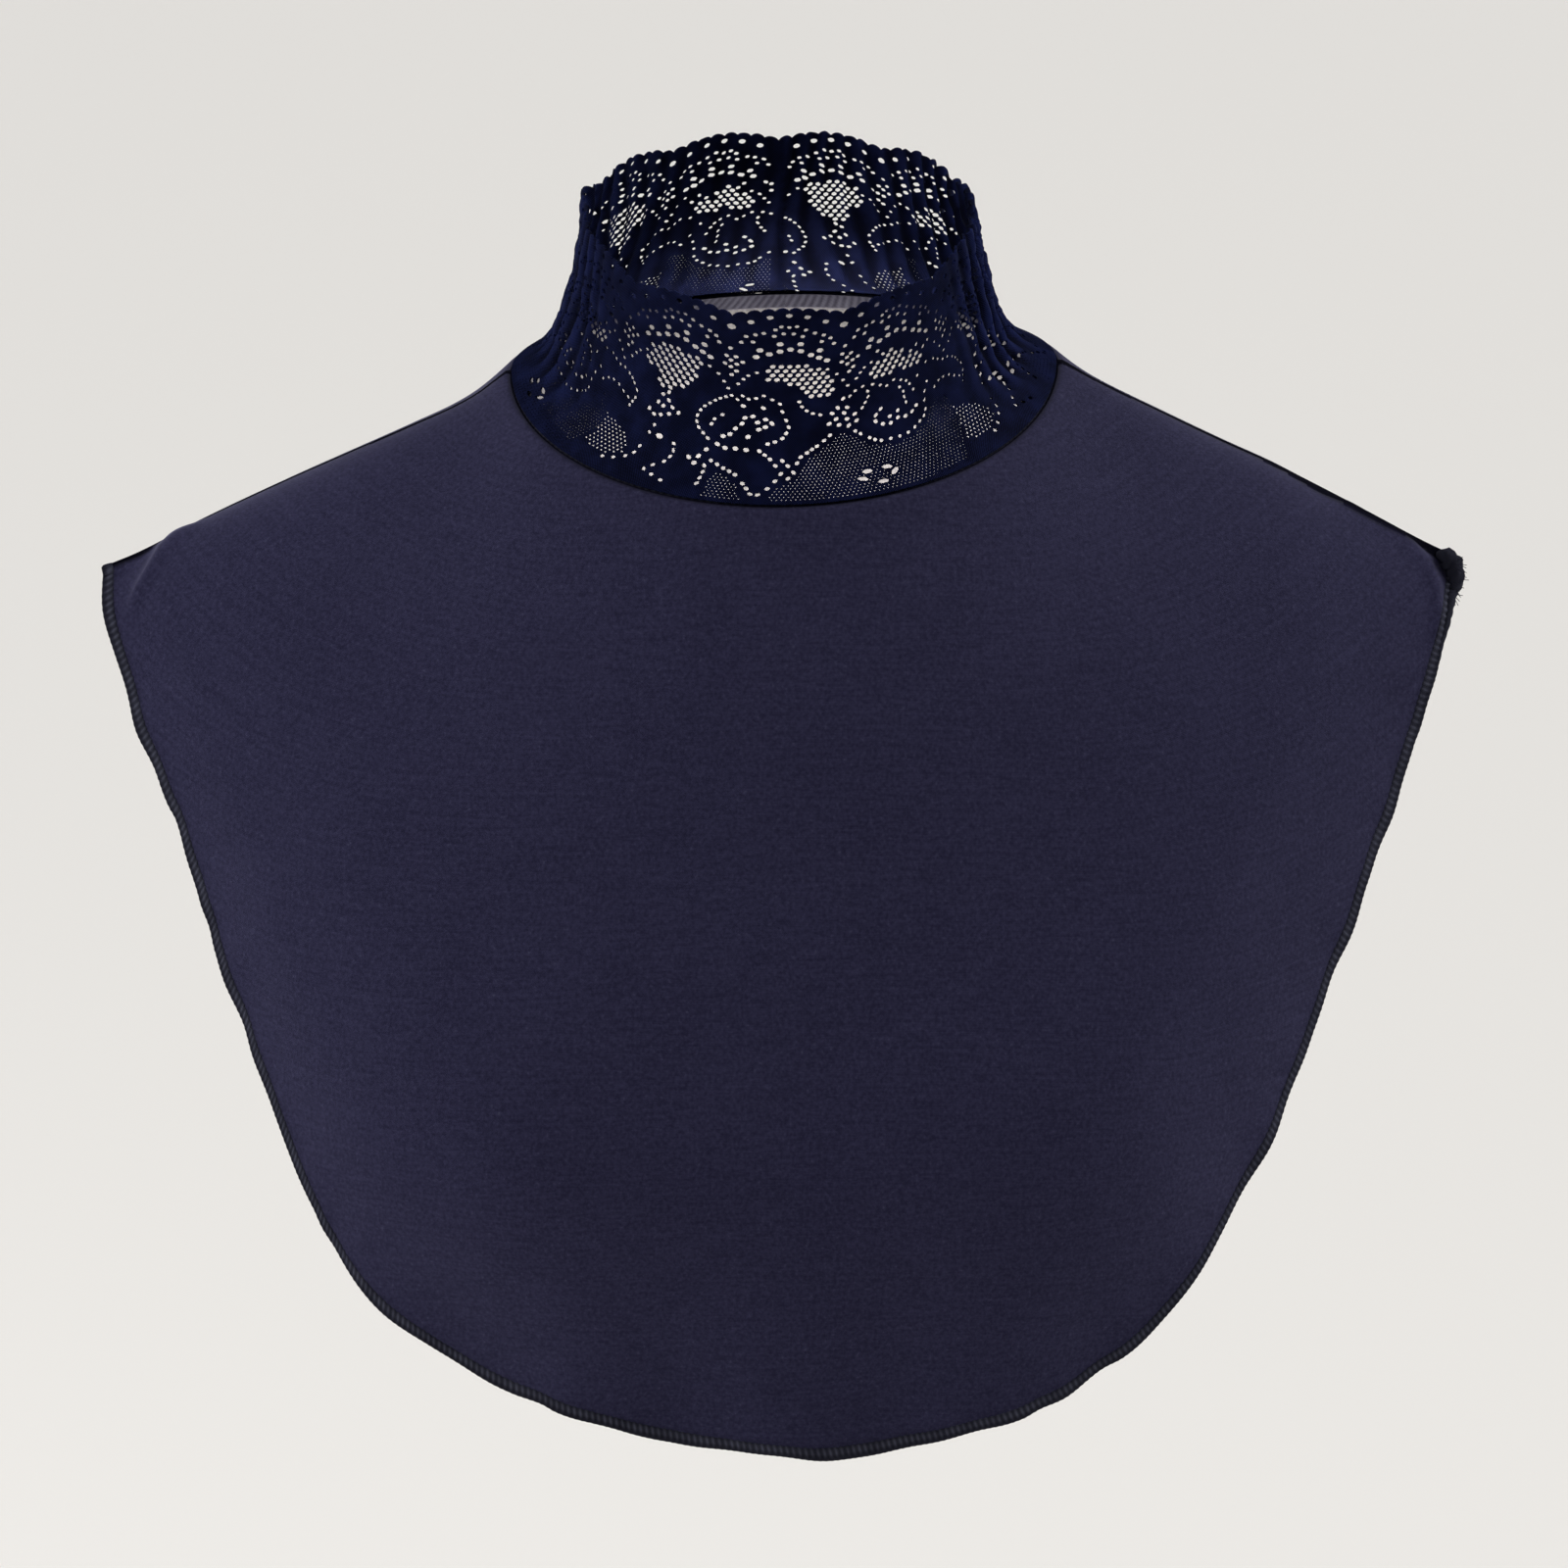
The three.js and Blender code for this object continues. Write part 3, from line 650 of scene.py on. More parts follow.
def clothUv(points):
    # across and down the cloth by measured length, from the middle column of the panel
    middle = points.shape[1] // 2
    across = lengthAlong(points, 1)
    across = across - across[:, [middle]]
    reach = panelBuild["neckHollow"] + lengthAlong(points)
    bearing = np.arctan2(across, reach[:, [middle]])
    return np.stack([reach * np.sin(bearing), -reach * np.cos(bearing)], -1)


def makePanel(name, panel, rows, node):
    build = panelBuild
    angle = panelAngles(build["columns"])[None, :]
    way = wayDown(panel, angle)
    start, end = panel["neckGap"] / way, 1 - build["underHem"] / way
    closeRows = np.array(build["closeRows"])[:, None] / way
    evenRows = np.linspace(0, 1, rows - len(closeRows) + 2)[1:, None]
    past = start + closeRows[-1:]
    share = np.vstack([start + closeRows, past + (end - past) * evenRows])
    angle = np.broadcast_to(angle, share.shape)
    fromSeam = (share - start) * way
    roll = np.exp(-(fromSeam / build["edgeRollReach"]) ** 2)
    outer = drapedPoint(panel, angle, share, -build["edgeRoll"] * roll)
    inner = drapedPoint(panel, angle, share, build["innerRoll"] * roll - jerseyWall)
    uv = clothUv(outer)
    # painted shade at the neckline and along the shoulders, and a fainter painted shade beside the hem
    nearNeck = np.exp(-(fromSeam / build["neckShade"]) ** 2)
    line = np.minimum(share, 1)
    band = readColumn(shoulderShade, "left", line)
    if panel is frontPanel:
        band = readSides(shoulderShade, angle, line)
    nearRidge = 1 - smoothStep(np.abs(outer[..., 1]) / band, *build["ridgeShade"])
    nearHem = build["hemShade"] * (1 - smoothStep((1 - share) * way, *build["hemShadeFade"]))
    shade = np.stack([np.maximum(np.maximum(nearNeck, nearRidge), nearHem), nearNeck])
    wrongSide = np.stack([0 * share, smoothStep(fromSeam, *build["wrongSide"])])
    faces = wallFaces(*share.shape)
    marks = {"wrongSide": wrongSide, "paintedShade": shade}
    piece = newPiece(name, [outer, inner], faces, [uv, uv], jersey, marks)
    # faces deep in the painted shade take the shaded copy of the jersey, with no sheen
    piece.data.materials.append(paintedShadeJersey)
    inPaintedShade = (shade.ravel()[faces] > build["paintedShadeFrom"]).mean(1) > build["paintedShadeShare"]
    piece.data.polygons.foreach_set("material_index", inPaintedShade.astype(np.int32))
    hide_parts(node)
    return piece


frontCloth = makePanel("front_cloth", frontPanel, panelBuild["frontRows"], "front_panel")
backCloth = makePanel("back_cloth", backPanel, panelBuild["backRows"], "back_panel")

# Hems: thread laid round the cloth's edge in slanting ridges. The section is in millimetres inwards from the
# edge and up from the outer face
hemBuild = {
    "ridgePitch": 1.8, "samplesPerRidge": 7, "ridgeHeight": 0.26, "ridgePower": 1.6, "slant": 0.12,
    "rung": (1.1, 2.1), "rungFade": (2.7, 3.8), "rungLoss": 0.4, "betweenRungs": 0.3,
    "patchy": 0.15, "patchCount": 0.9, "patchSway": (2, 0.31), "middle": -0.6, "soften": 0.8,
    "section": [(3.9, 0.02), (3.55, 0.26), (3.0, 0.34), (2.25, 0.38), (1.5, 0.36), (0.8, 0.28), (0.05, -0.12),
                (-0.05, -0.6), (0.05, -1.05), (0.8, -1.48), (2.25, -1.58), (3.55, -1.48), (3.9, -1.22)],
}


def makeHem(name, panel, node):
    build = hemBuild
    columns = int(panel["curve"]["length"][-1] / build["ridgePitch"] * build["samplesPerRidge"]) + 1
    angle = np.linspace(-quarterTurn, quarterTurn, columns)[None, :]
    along = np.arange(columns)[None, :] / build["samplesPerRidge"]
    section = np.array(build["section"])
    inward, height = section[:, [0]], section[:, [1]]
    ridge = (0.5 + 0.5 * np.cos(2 * math.pi * (along + build["slant"] * inward))) ** build["ridgePower"]
    # the thread's outer edge is left dark as painted shade: its pale rungs grow from 1.1 to 2.1 mm in, and
    # fade a little towards the inner side
    rung = smoothStep(inward, *build["rung"])
    rung = rung * (1 - build["rungLoss"] * smoothStep(inward, *build["rungFade"]))
    sway, swayCount = build["patchSway"]
    patch = np.sin(build["patchCount"] * along + sway * np.sin(swayCount * along))
    between = build["betweenRungs"]
    tone = rung * (between + (1 - between) * ridge) * (1 - build["patchy"] * (1 - patch))
    fromMiddle = height - build["middle"]
    outwards = np.sign(fromMiddle) * smoothStep(np.abs(fromMiddle), 0, build["soften"])
    lift = height + build["ridgeHeight"] * (ridge - 0.5) * outwards
    share = 1 - inward / wayDown(panel, angle)
    points = drapedPoint(panel, np.broadcast_to(angle, share.shape), share, lift)
    grid = np.arange(share.size).reshape(share.shape)
    uv = np.stack(np.broadcast_arrays(along * build["ridgePitch"], lengthAlong(section)[:, None]), -1)
    piece = newPiece(name, points, tubeFaces(grid.T), uv, edgeThread, {"rung": tone}, sharpAbove=80)
    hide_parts(node)
    return piece


frontEdgeThread = makeHem("front_overlock", frontPanel, "front_hem")
backEdgeThread = makeHem("back_overlock", backPanel, "back_hem")

# The stand collar's surface: turn is 0 at the front middle, height in millimetres above its seam
collarForm = {
    "share": [0, 0.12, 0.24, 0.4, 0.56, 0.75, 0.88, 1],
    "left": [82, 75.2, 70, 66.8, 63.8, 61.5, 60, 58.5],
    "right": [82, 73.5, 67, 63.2, 61, 58.4, 57, 56],
    "frontOut": [-74, -71, -69, -68, -68.5, -71, -73.5, -76],
    "frontUp": [-27, -20.5, -13.5, -4, 5, 16, 24, 31],
    "sideOut": [0, -3, -6, -9.5, -12.5, -16, -18.5, -20.5],
    "sideUp": [0, 4, 9, 17, 26, 37, 45, 52],
    "backOut": [55, 51, 48, 45, 42.5, 39.5, 37.5, 36],
    "backUp": [8, 14, 21, 30, 39, 50, 57, 64],
}


def collarPoint(turn, share):
    turn, share = np.broadcast_arrays(np.asarray(turn, float), np.asarray(share, float))
    sideways, forward = np.sin(turn), np.cos(turn)
    reach = np.abs(forward)

    def read(column):
        return readColumn(collarForm, column, share)

    out = np.where(forward >= 0, read("frontOut"), read("backOut"))
    level = np.where(forward >= 0, read("frontUp"), read("backUp"))
    y = read("sideOut") * (1 - reach) + out * reach
    z = read("sideUp") * (1 - reach) + level * reach + neckTilt * sideways * (1 - share)
    return np.stack([readSides(collarForm, sideways, share) * sideways, y, z], -1)


# Stretch lace, charted in scallops across (0 and 1 are notches) and millimetres above the seam.
# Edges, gaps and half thicknesses are in millimetres
laceBuild = {
    "scallops": 11, "firstScallop": -4, "firstNotch": -47.53, "scallopWidth": 38.0, "repeat": 3, "dip": 2.6,
    "picots": 8, "picotHeight": 0.9, "picotPower": 0.7, "edgeSteps": 6, "seamSteps": 24, "sideSteps": 40,
    "seamSide": 0.3, "endGap": 1.9, "bar": 0.3, "fan": 0.35, "lineTilt": 0.55, "strip": 4,
    "pointPitch": 1.55, "pointShift": 0.25, "edgeGap": 0.9, "sideGap": 0.7, "holeGap": 0.5, "widest": 3.2,
    "edge": 0.3, "motif": 0.46, "middleDepth": 0.5, "samePoint": 1e-5, "sameSide": 1e-3,
}
laceHoleKinds = {
    # kind: half width, half height, corners, half thickness of the lace round it
    "notchEyelet": (1.6, 1.05, 8, 0.32), "eyelet": (1.28, 0.84, 8, 0.32), "big": (1.32, 0.84, 6, 0.28),
    "small": (0.92, 0.66, 6, 0.28), "dot": (0.76, 0.56, 6, 0.28), "slot": (1.6, 0.66, 6, 0.26),
    "net": (1.02, 0.71, 6, 0.2), "tulle": (0.208, 0.178, 4, 0.13), "mesh": (0.44, 0.33, 4, 0.15),
}
everyScallop = {
    "notchEyelet": [(0.0, 53.5)],
    "eyelet": [(0.167, 55.5), (0.333, 57.3), (0.5, 58.0), (0.667, 57.3), (0.833, 55.3)],
    "small": [(0.0, 46.9), (0.13, 50.9), (0.21, 51.6), (0.28, 52.2), (0.38, 53.4), (0.43, 54.4), (0.5, 54.2),
              (0.57, 54.4), (0.65, 53.2), (0.73, 52.0), (0.81, 51.1), (0.87, 50.0), (0.09, 49.0),
              (0.19, 49.4), (0.37, 51.4), (0.45, 52.2), (0.54, 52.1), (0.62, 51.2), (0.79, 49.2), (0.9, 48.2),
              (-0.03, 44.5), (0.05, 44.4), (0.01, 43.2), (-0.04, 42.0), (0.06, 42.1), (0.11, 42.9),
              (0.01, 41.1), (-0.02, 40.0), (0.06, 39.9), (0.02, 38.6)],
    "big": [(0.16, 43.8), (0.22, 44.9), (0.33, 45.9), (0.42, 46.8), (0.51, 47.4), (0.6, 46.8), (0.69, 45.4),
            (0.76, 44.3), (0.83, 43.2), (0.25, 47.0), (0.42, 49.0), (0.6, 48.9), (0.77, 46.6)],
    "dot": [(0.83, 40.3), (0.91, 38.4), (0.96, 36.2), (1.08, 35.9), (1.12, 37.5), (1.16, 38.8),
            (1.23, 39.9), (0.999, 34.2)],
}
laceLines = [
    # kind, scallop and height of each hole of a line, in one repeat of three scallops
    ("dot", [(1.08, 30.9), (1.03, 32.0), (0.985, 31.4), (0.94, 30.7), (0.9, 29.8), (0.86, 28.7), (0.82, 27.5),
             (0.79, 26.1), (0.77, 24.3), (0.77, 22.4), (0.79, 20.8), (0.83, 19.4), (0.87, 18.1)]),
    ("dot", [(1.12, 32.2), (1.17, 31.3), (1.23, 31.7), (1.29, 32.6), (1.36, 31.4), (1.42, 30.1), (1.44, 27.6),
             (1.47, 24.9), (1.49, 22.8), (1.47, 21.0), (1.44, 19.5), (1.385, 18.5), (1.33, 17.9)]),
    ("small", [(1.13, 29.0), (1.29, 28.7), (1.21, 25.9), (1.15, 25.3), (1.13, 23.5), (1.08, 21.9),
               (1.04, 20.1), (0.99, 19.3), (0.94, 18.7)]),
    ("small", [(1.25, 24.1), (1.31, 25.1), (1.36, 23.9), (1.31, 22.8), (1.26, 22.0), (1.22, 20.9),
               (1.18, 19.7)]),
    ("dot", [(0.89, 22.4), (0.91, 24.0), (0.97, 25.6)]),
    ("small", [(0.95, 16.8), (1.01, 16.0), (1.09, 16.1), (1.17, 15.9)]),
    ("small", [(0.42, 25.4), (0.45, 28.1), (0.51, 26.7), (0.55, 24.9), (0.61, 23.7), (0.53, 22.7),
               (0.46, 21.8), (0.4, 21.4), (0.35, 22.7), (0.47, 24.6), (0.5, 29.2)]),
    ("small", [(0.75, 11.8), (0.8, 10.5), (0.82, 12.6), (0.87, 14.8), (0.84, 13.7)]),
    ("dot", [(0.88, 10.2), (0.88, 8.4), (0.87, 6.6), (0.86, 4.9)]),
    ("dot", [(0.92, 11.9), (0.97, 11.1), (1.02, 10.2), (1.065, 9.5), (1.11, 8.7), (1.14, 7.6), (1.17, 6.3),
             (1.2, 4.9), (1.23, 3.4)]),
    ("dot", [(1.28, 3.2), (1.31, 4.2), (1.34, 5.1), (1.365, 6.2), (1.39, 7.3), (1.43, 9.4), (1.41, 10.6),
             (1.39, 11.7), (1.35, 13.5), (1.31, 14.7), (1.27, 15.8)]),
    ("dot", [(1.44, 13.1), (1.48, 11.6), (1.52, 9.7), (1.48, 8.0), (1.55, 12.3)]),
    ("dot", [(1.58, 14.0), (1.63, 15.1), (1.67, 16.0), (1.71, 16.8), (1.77, 18.2), (1.82, 19.5)]),
    ("big", [(0.48, 15.6)]),
    ("dot", [(0.42, 18.3), (0.39, 15.8), (0.61, 14.6), (0.62, 12.7), (0.61, 10.8), (0.58, 9.1), (0.51, 7.3),
             (0.46, 5.5), (0.53, 4.6), (0.61, 3.7)]),
    ("dot", [(-0.23, 33.8), (-0.185, 33.7), (-0.14, 33.6), (-0.09, 32.6), (-0.03, 31.7), (0.03, 31.5),
             (0.09, 30.5), (0.13, 29.5), (0.16, 28.3), (0.2, 26.5), (0.2, 24.1), (0.18, 22.7), (0.16, 21.3)]),
    ("small", [(2.35, 41.5), (2.3, 42.9), (-0.37, 39.3), (-0.23, 38.9), (-0.3, 40.6), (-0.19, 41.8)]),
    ("dot", [(2.01, 30.6), (2.06, 32.0), (2.13, 32.9), (2.22, 32.8), (2.29, 31.9), (2.35, 31.1), (2.42, 32.3),
             (2.49, 31.5), (2.54, 30.6), (2.57, 29.2)]),
    ("dot", [(2.17, 31.0), (2.17, 29.2), (2.14, 27.6), (2.11, 26.2)]),
    ("dot", [(2.47, 29.4), (2.5, 27.6), (2.5, 25.8), (2.51, 24.0)]),
    ("small", [(2.27, 24.4), (2.22, 22.9), (2.21, 21.1), (2.27, 19.8), (2.34, 19.4), (2.41, 20.3),
               (2.48, 20.0), (2.55, 20.6), (2.6, 21.9), (2.34, 21.4), (2.42, 22.4)]),
    ("dot", [(2.03, 19.6), (2.07, 18.5), (2.14, 16.8), (2.18, 15.9), (2.23, 15.2), (2.31, 15.0), (2.39, 14.9),
             (2.47, 15.1), (2.54, 15.9), (2.6, 17.0), (2.65, 18.0), (2.68, 19.6)]),
    ("slot", [(2.05, 7.6), (2.2, 7.7), (2.24, 6.0), (2.13, 3.9), (2.0, 5.7)]),
    ("small", [(1.95, 30.2), (1.9, 27.5), (1.98, 27.2), (1.95, 25.6), (2.04, 24.7), (1.88, 24.1),
               (1.97, 23.6), (2.05, 22.6), (1.9, 22.2), (1.82, 22.9), (1.8, 21.4), (1.98, 21.6),
               (1.85, 26.0)]),
    ("dot", [(2.82, 24.8), (2.88, 26.0), (2.94, 26.3), (3.01, 25.8), (3.07, 24.5), (3.13, 23.4)]),
    ("dot", [(2.69, 22.4), (2.71, 25.0), (2.75, 27.6), (2.6, 27.0), (2.66, 30.8)]),
    ("dot", [(1.6, 29.0), (1.64, 27.6), (1.69, 26.6), (1.75, 26.0), (1.58, 30.6)]),
    ("dot", [(0.12, 4.6), (0.2, 5.6), (0.28, 7.2), (0.33, 9.0), (0.35, 11.2)]),
]
# Fields of holes: pitch, height of a row, least gap between two, and outlines, each with its holes' tilt in
# degrees
laceFields = {
    "net": (2.72, 1.4, 0.2, [
        (-20, [(0.21, 41.3), (0.33, 43.2), (0.5, 44.0), (0.66, 42.8), (0.78, 41.3), (0.76, 38.4),
               (0.71, 35.6), (0.6, 31.6), (0.5, 29.9), (0.42, 30.8), (0.33, 35.0), (0.22, 38.4)]),
        (12, [(1.3, 41.4), (1.4, 42.9), (1.55, 43.3), (1.68, 42.0), (1.83, 39.6), (1.9, 35.6), (1.87, 31.6),
              (1.71, 30.8), (1.63, 33.8), (1.49, 36.2), (1.31, 37.6)]),
        (16, [(2.2, 40.0), (2.3, 41.6), (2.45, 42.3), (2.6, 41.4), (2.74, 38.8), (2.76, 34.6), (2.62, 34.0),
              (2.5, 35.4), (2.35, 34.4), (2.2, 34.6)])]),
    "tulle": (1.16, 0.84, 0.16, [
        (0, [(1.33, 0.9), (1.4, 5.0), (1.52, 7.2), (1.58, 9.6), (1.6, 12.0), (1.68, 14.4), (1.76, 16.3),
             (1.86, 18.6), (1.94, 19.9), (2.0, 18.3), (2.07, 16.8), (2.14, 15.0), (2.23, 13.6), (2.39, 13.3),
             (2.54, 14.3), (2.64, 15.9), (2.71, 18.2), (2.76, 20.8), (2.86, 21.6), (2.93, 20.0), (2.95, 12.4),
             (2.86, 7.6), (2.74, 0.9)]),
        (0, [(0.91, 1.0), (0.93, 6.0), (0.97, 9.2), (1.05, 8.0), (1.12, 5.8), (1.16, 3.2), (1.18, 1.0)])]),
    "mesh": (1.5, 1.0, 0.16, [
        (0, [(-0.16, 6.5), (-0.1, 9.5), (-0.05, 12.4), (-0.06, 16.5), (0.02, 15.6), (0.1, 14.6), (0.19, 13.0),
             (0.26, 10.4), (0.25, 7.6), (0.12, 6.0), (0.0, 5.8)])]),
}


def insideOutline(x, y, outline):
    inside = np.zeros(x.shape, bool)
    corners = np.asarray(outline, float)
    for (x0, y0), (x1, y1) in zip(corners, np.roll(corners, -1, axis=0)):
        crossing = (y0 > y) != (y1 > y)
        where = (x1 - x0) * (y - y0) / (y1 - y0 or 1) + x0
        inside ^= crossing & (x < where)
    return inside


def fieldPoints(outline, pitch, rowPitch):
    # staggered places inside an outline
    corners = np.asarray(outline, float)
    low, high = corners.min(0), corners.max(0)
    width = laceBuild["scallopWidth"]
    rows = np.arange(math.floor(low[1] / rowPitch), math.ceil(high[1] / rowPitch) + 1)
    columns = np.arange(math.floor(low[0] * width / pitch) - 1, math.ceil(high[0] * width / pitch) + 2)
    row, column = np.meshgrid(rows, columns, indexing="ij")
    x = (column + 0.5 * (row % 2)) * pitch / width
    y = row * rowPitch
    keep = insideOutline(x, y, outline)
    return list(zip(x[keep], y[keep]))


def lineTilt(points, k):
    (x0, y0), (x1, y1) = points[max(k - 1, 0)], points[min(k + 1, len(points) - 1)]
    tilt = math.atan2(y1 - y0, (x1 - x0) * laceBuild["scallopWidth"])
    return laceBuild["lineTilt"] * ((tilt + quarterTurn) % math.pi - quarterTurn)


def chartHoles():
    # every hole of the band: place across in millimetres, height, half sizes, tilt, corners, half thickness
    build = laceBuild
    width, repeat = build["scallopWidth"], build["repeat"]
    first, last = build["firstScallop"], build["firstScallop"] + build["scallops"]
    placed, strips = [], {}

    def place(kind, q, h, tilt=0.0, clear=build["bar"]):
        # adds a hole, unless it would come too near to the band's ends or to another hole
        wide, high, corners, thick = laceHoleKinds[kind]
        x = q * width
        if not first * width + build["endGap"] < x < last * width - build["endGap"]:
            return
        strip = int(x // build["strip"])
        for other in [hole for k in (-1, 0, 1) for hole in strips.get(strip + k, [])]:
            gapX = (other[0] - x) / (other[2] + wide + clear)
            gapY = (other[1] - h) / (other[3] + high + clear)
            if gapX ** 2 + gapY ** 2 < 1:
                return
        placed.append((x, h, wide, high, tilt, corners, thick))
        strips.setdefault(strip, []).append(placed[-1])

    for scallop in range(first - 1, last + 1):
        for kind, places in everyScallop.items():
            fan = build["fan"] if kind in ("small", "big", "eyelet") else 0
            for q, h in places:
                place(kind, q + scallop, h, fan * (0.5 - q % 1))
    repeats = [repeat * k for k in range(math.floor(first / repeat) - 1, math.ceil(last / repeat) + 1)]
    for shift in repeats:
        for kind, points in laceLines:
            for i, (q, h) in enumerate(points):
                place(kind, q + shift, h, lineTilt(points, i))
    for kind, (pitch, rowPitch, clear, outlines) in laceFields.items():
        for shift in repeats:
            for tilt, outline in outlines:
                for q, h in fieldPoints(outline, pitch, rowPitch):
                    place(kind, q + shift, h, math.radians(tilt), clear)
    return placed


def scallopTop(x):
    # the scalloped edge with its small picots
    place = x / laceBuild["scallopWidth"]
    dip = laceBuild["dip"] * (1 - np.sin(math.pi * (place % 1)))
    picot = np.abs(np.sin(math.pi * laceBuild["picots"] * place)) ** laceBuild["picotPower"]
    return collarHeight - dip + laceBuild["picotHeight"] * (picot - 0.5)


def laceSheet():
    # the flat lace: its points, the half thickness at each, and the outlines of the band and of the holes
    build = laceBuild
    low, edge, gap, pitch = build["seamSide"], build["edge"], build["holeGap"], build["pointPitch"]
    left = build["firstScallop"] * build["scallopWidth"]
    right = left + build["scallops"] * build["scallopWidth"]
    topX = np.linspace(right, left, build["scallops"] * build["picots"] * build["edgeSteps"] + 1)
    seamX = np.linspace(left, right, build["scallops"] * build["seamSteps"] + 1)
    sideY = np.linspace(low, scallopTop(left), build["sideSteps"])[1:-1]
    points = [(x, low) for x in seamX] + [(right, y) for y in sideY]
    points += list(zip(topX, scallopTop(topX))) + [(left, y) for y in sideY[::-1]]
    thickness, outlines = [edge] * len(points), [list(range(len(points)))]
    holes = chartHoles()
    for x, h, wide, high, tilt, corners, thick in holes:
        outlines.append(list(range(len(points), len(points) + corners)))
        thickness += [thick] * corners
        c, s = math.cos(tilt), math.sin(tilt)
        for turn in np.linspace(0, 2 * math.pi, corners, endpoint=False):
            a, b = wide * math.cos(turn), high * math.sin(turn)
            points.append((x + a * c - b * s, h + a * s + b * c))
    # points between the holes, for the raised cloth of the motifs
    row, column = np.meshgrid(
        np.arange(1, collarHeight / pitch), np.arange(0, (right - left) / pitch), indexing="ij")
    x = (left + (column + 0.5 * (row % 2) + build["pointShift"]) * pitch).ravel()
    y = (row * pitch).ravel()
    keep = (y < scallopTop(x) - build["edgeGap"]) & (y > build["edgeGap"])
    keep &= (x > left + build["sideGap"]) & (x < right - build["sideGap"])
    table = np.array([hole[:4] for hole in holes])
    table = table[np.argsort(table[:, 0])]
    for px, py in zip(x[keep], y[keep]):
        near = table[slice(*np.searchsorted(table[:, 0], (px - build["widest"], px + build["widest"])))]
        away = np.hypot((near[:, 0] - px) / (near[:, 2] + gap), (near[:, 1] - py) / (near[:, 3] + gap))
        if (away > 1).all():
            points.append((px, py))
            thickness.append(build["motif"])
    return points, thickness, outlines, left, right


# Upright folds at the sides of the neck. Pairs are degrees from the front, or millimetres above the seam,
# between which something grows or fades. Sway and drift are size, wave height and turns
laceFolds = {
    "height": 1.3, "count": 52, "turns": (50, 80), "calmTurns": (110, 150), "calm": 0.6, "leftShare": 0.6,
    "rise": (4, 16), "rim": (50, 60), "rimLoss": 0.3, "sway": (1.8, 17, 3), "drift": (1.1, 11, 9),
    "overtone": 0.25, "crumple": 0.3, "crumpleLength": 2.1, "crumpleSway": 2, "crumpleTurns": 31,
    "flareAt": -99, "flareWidth": 6.0, "flare": 2.4, "flareRise": (51, 59),
}


def laceRipple(turn, height):
    # how far the folds stand out in millimetres, and the same from -1 to 1 for the material's painted
    # highlight on the ridges and painted shade in the valleys
    folds = laceFolds
    degrees = np.degrees((turn + math.pi) % (2 * math.pi) - math.pi)
    where = smoothStep(np.abs(degrees), *folds["turns"])
    where = where * (1 - folds["calm"] * smoothStep(np.abs(degrees), *folds["calmTurns"]))
    where = where * np.where(degrees < 0, folds["leftShare"], 1.0)
    where = where * smoothStep(height, *folds["rise"])
    where = where * (1 - folds["rimLoss"] * smoothStep(height, *folds["rim"]))
    phase = folds["count"] * turn
    for size, wave, turns in (folds["sway"], folds["drift"]):
        phase = phase + size * np.sin(height / wave + turns * turn)
    foldAndPaintedShade = np.sin(phase) + folds["overtone"] * np.sin(2 * phase + 1)
    crumple = folds["crumple"] * np.sin(
        height / folds["crumpleLength"] + folds["crumpleSway"] * np.sin(phase) + folds["crumpleTurns"] * turn)
    flare = np.exp(-((degrees - folds["flareAt"]) / folds["flareWidth"]) ** 2)
    flare = folds["flare"] * flare * smoothStep(height, *folds["flareRise"])
    return where * (folds["height"] * foldAndPaintedShade + crumple) + flare, where * foldAndPaintedShade


def makeLace():
    build = laceBuild
    points, thickness, outlines, left, right = laceSheet()
    print("lace chart has", len(outlines) - 1, "holes and", len(points), "points")
    flat = delaunay_2d_cdt([Vector(point) for point in points], [], outlines, 0, build["samePoint"])
    place = np.array([tuple(point) for point in flat[0]])
    thick = np.array([thickness[came[0]] if came else build["edge"] for came in flat[3]])
    # only the triangles that lie in the band and in none of its holes
    faces = np.array([face for face, inside in zip(flat[2], flat[5]) if list(inside) == [0]])
    # the two ends of the band meet at the back middle
    ends = [np.where(np.abs(place[:, 0] - x) < build["sameSide"])[0] for x in (left, right)]
    onLeft, onRight = (end[np.argsort(place[end, 1])] for end in ends)
    joined = np.arange(len(place))
    joined[onRight] = onLeft
    faces = joined[faces]
    turn = np.radians(build["firstNotch"] + place[:, 0] / build["scallopWidth"] * 360 / build["scallops"])
    share = place[:, 1] / collarHeight
    normal = normalsOf(collarPoint, turn, share)
    ripple, foldAndPaintedShade = laceRipple(turn, place[:, 1])
    middle = collarPoint(turn, share) + normal * (ripple - build["middleDepth"])[:, None]
    lift = normal * thick[:, None]
    edges = np.vstack([faces[:, [0, 1]], faces[:, [1, 2]], faces[:, [2, 0]]])
    key = np.sort(edges, axis=1)
    total = len(place)
    _, first, count = np.unique(key[:, 0] * total + key[:, 1], return_index=True, return_counts=True)
    rim = edges[first[count == 1]]
    walls = np.column_stack([rim[:, 1], rim[:, 0], rim[:, 0] + total, rim[:, 1] + total])
    used = np.unique(faces)
    used = np.concatenate([used, used + total])
    renumber = np.full(2 * total, -1)
    renumber[used] = np.arange(len(used))
    allFaces = [face for part in (faces, faces[:, ::-1] + total, walls) for face in renumber[part].tolist()]
    piece = newPiece("lace_band", np.vstack([middle + lift, middle - lift])[used], allFaces,
                     np.vstack([place, place])[used], lace, {"foldAndPaintedShade": np.tile(foldAndPaintedShade, 2)[used]}, sharpAbove=60)
    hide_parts("lace_collar")
    return piece


laceCollar = makeLace()

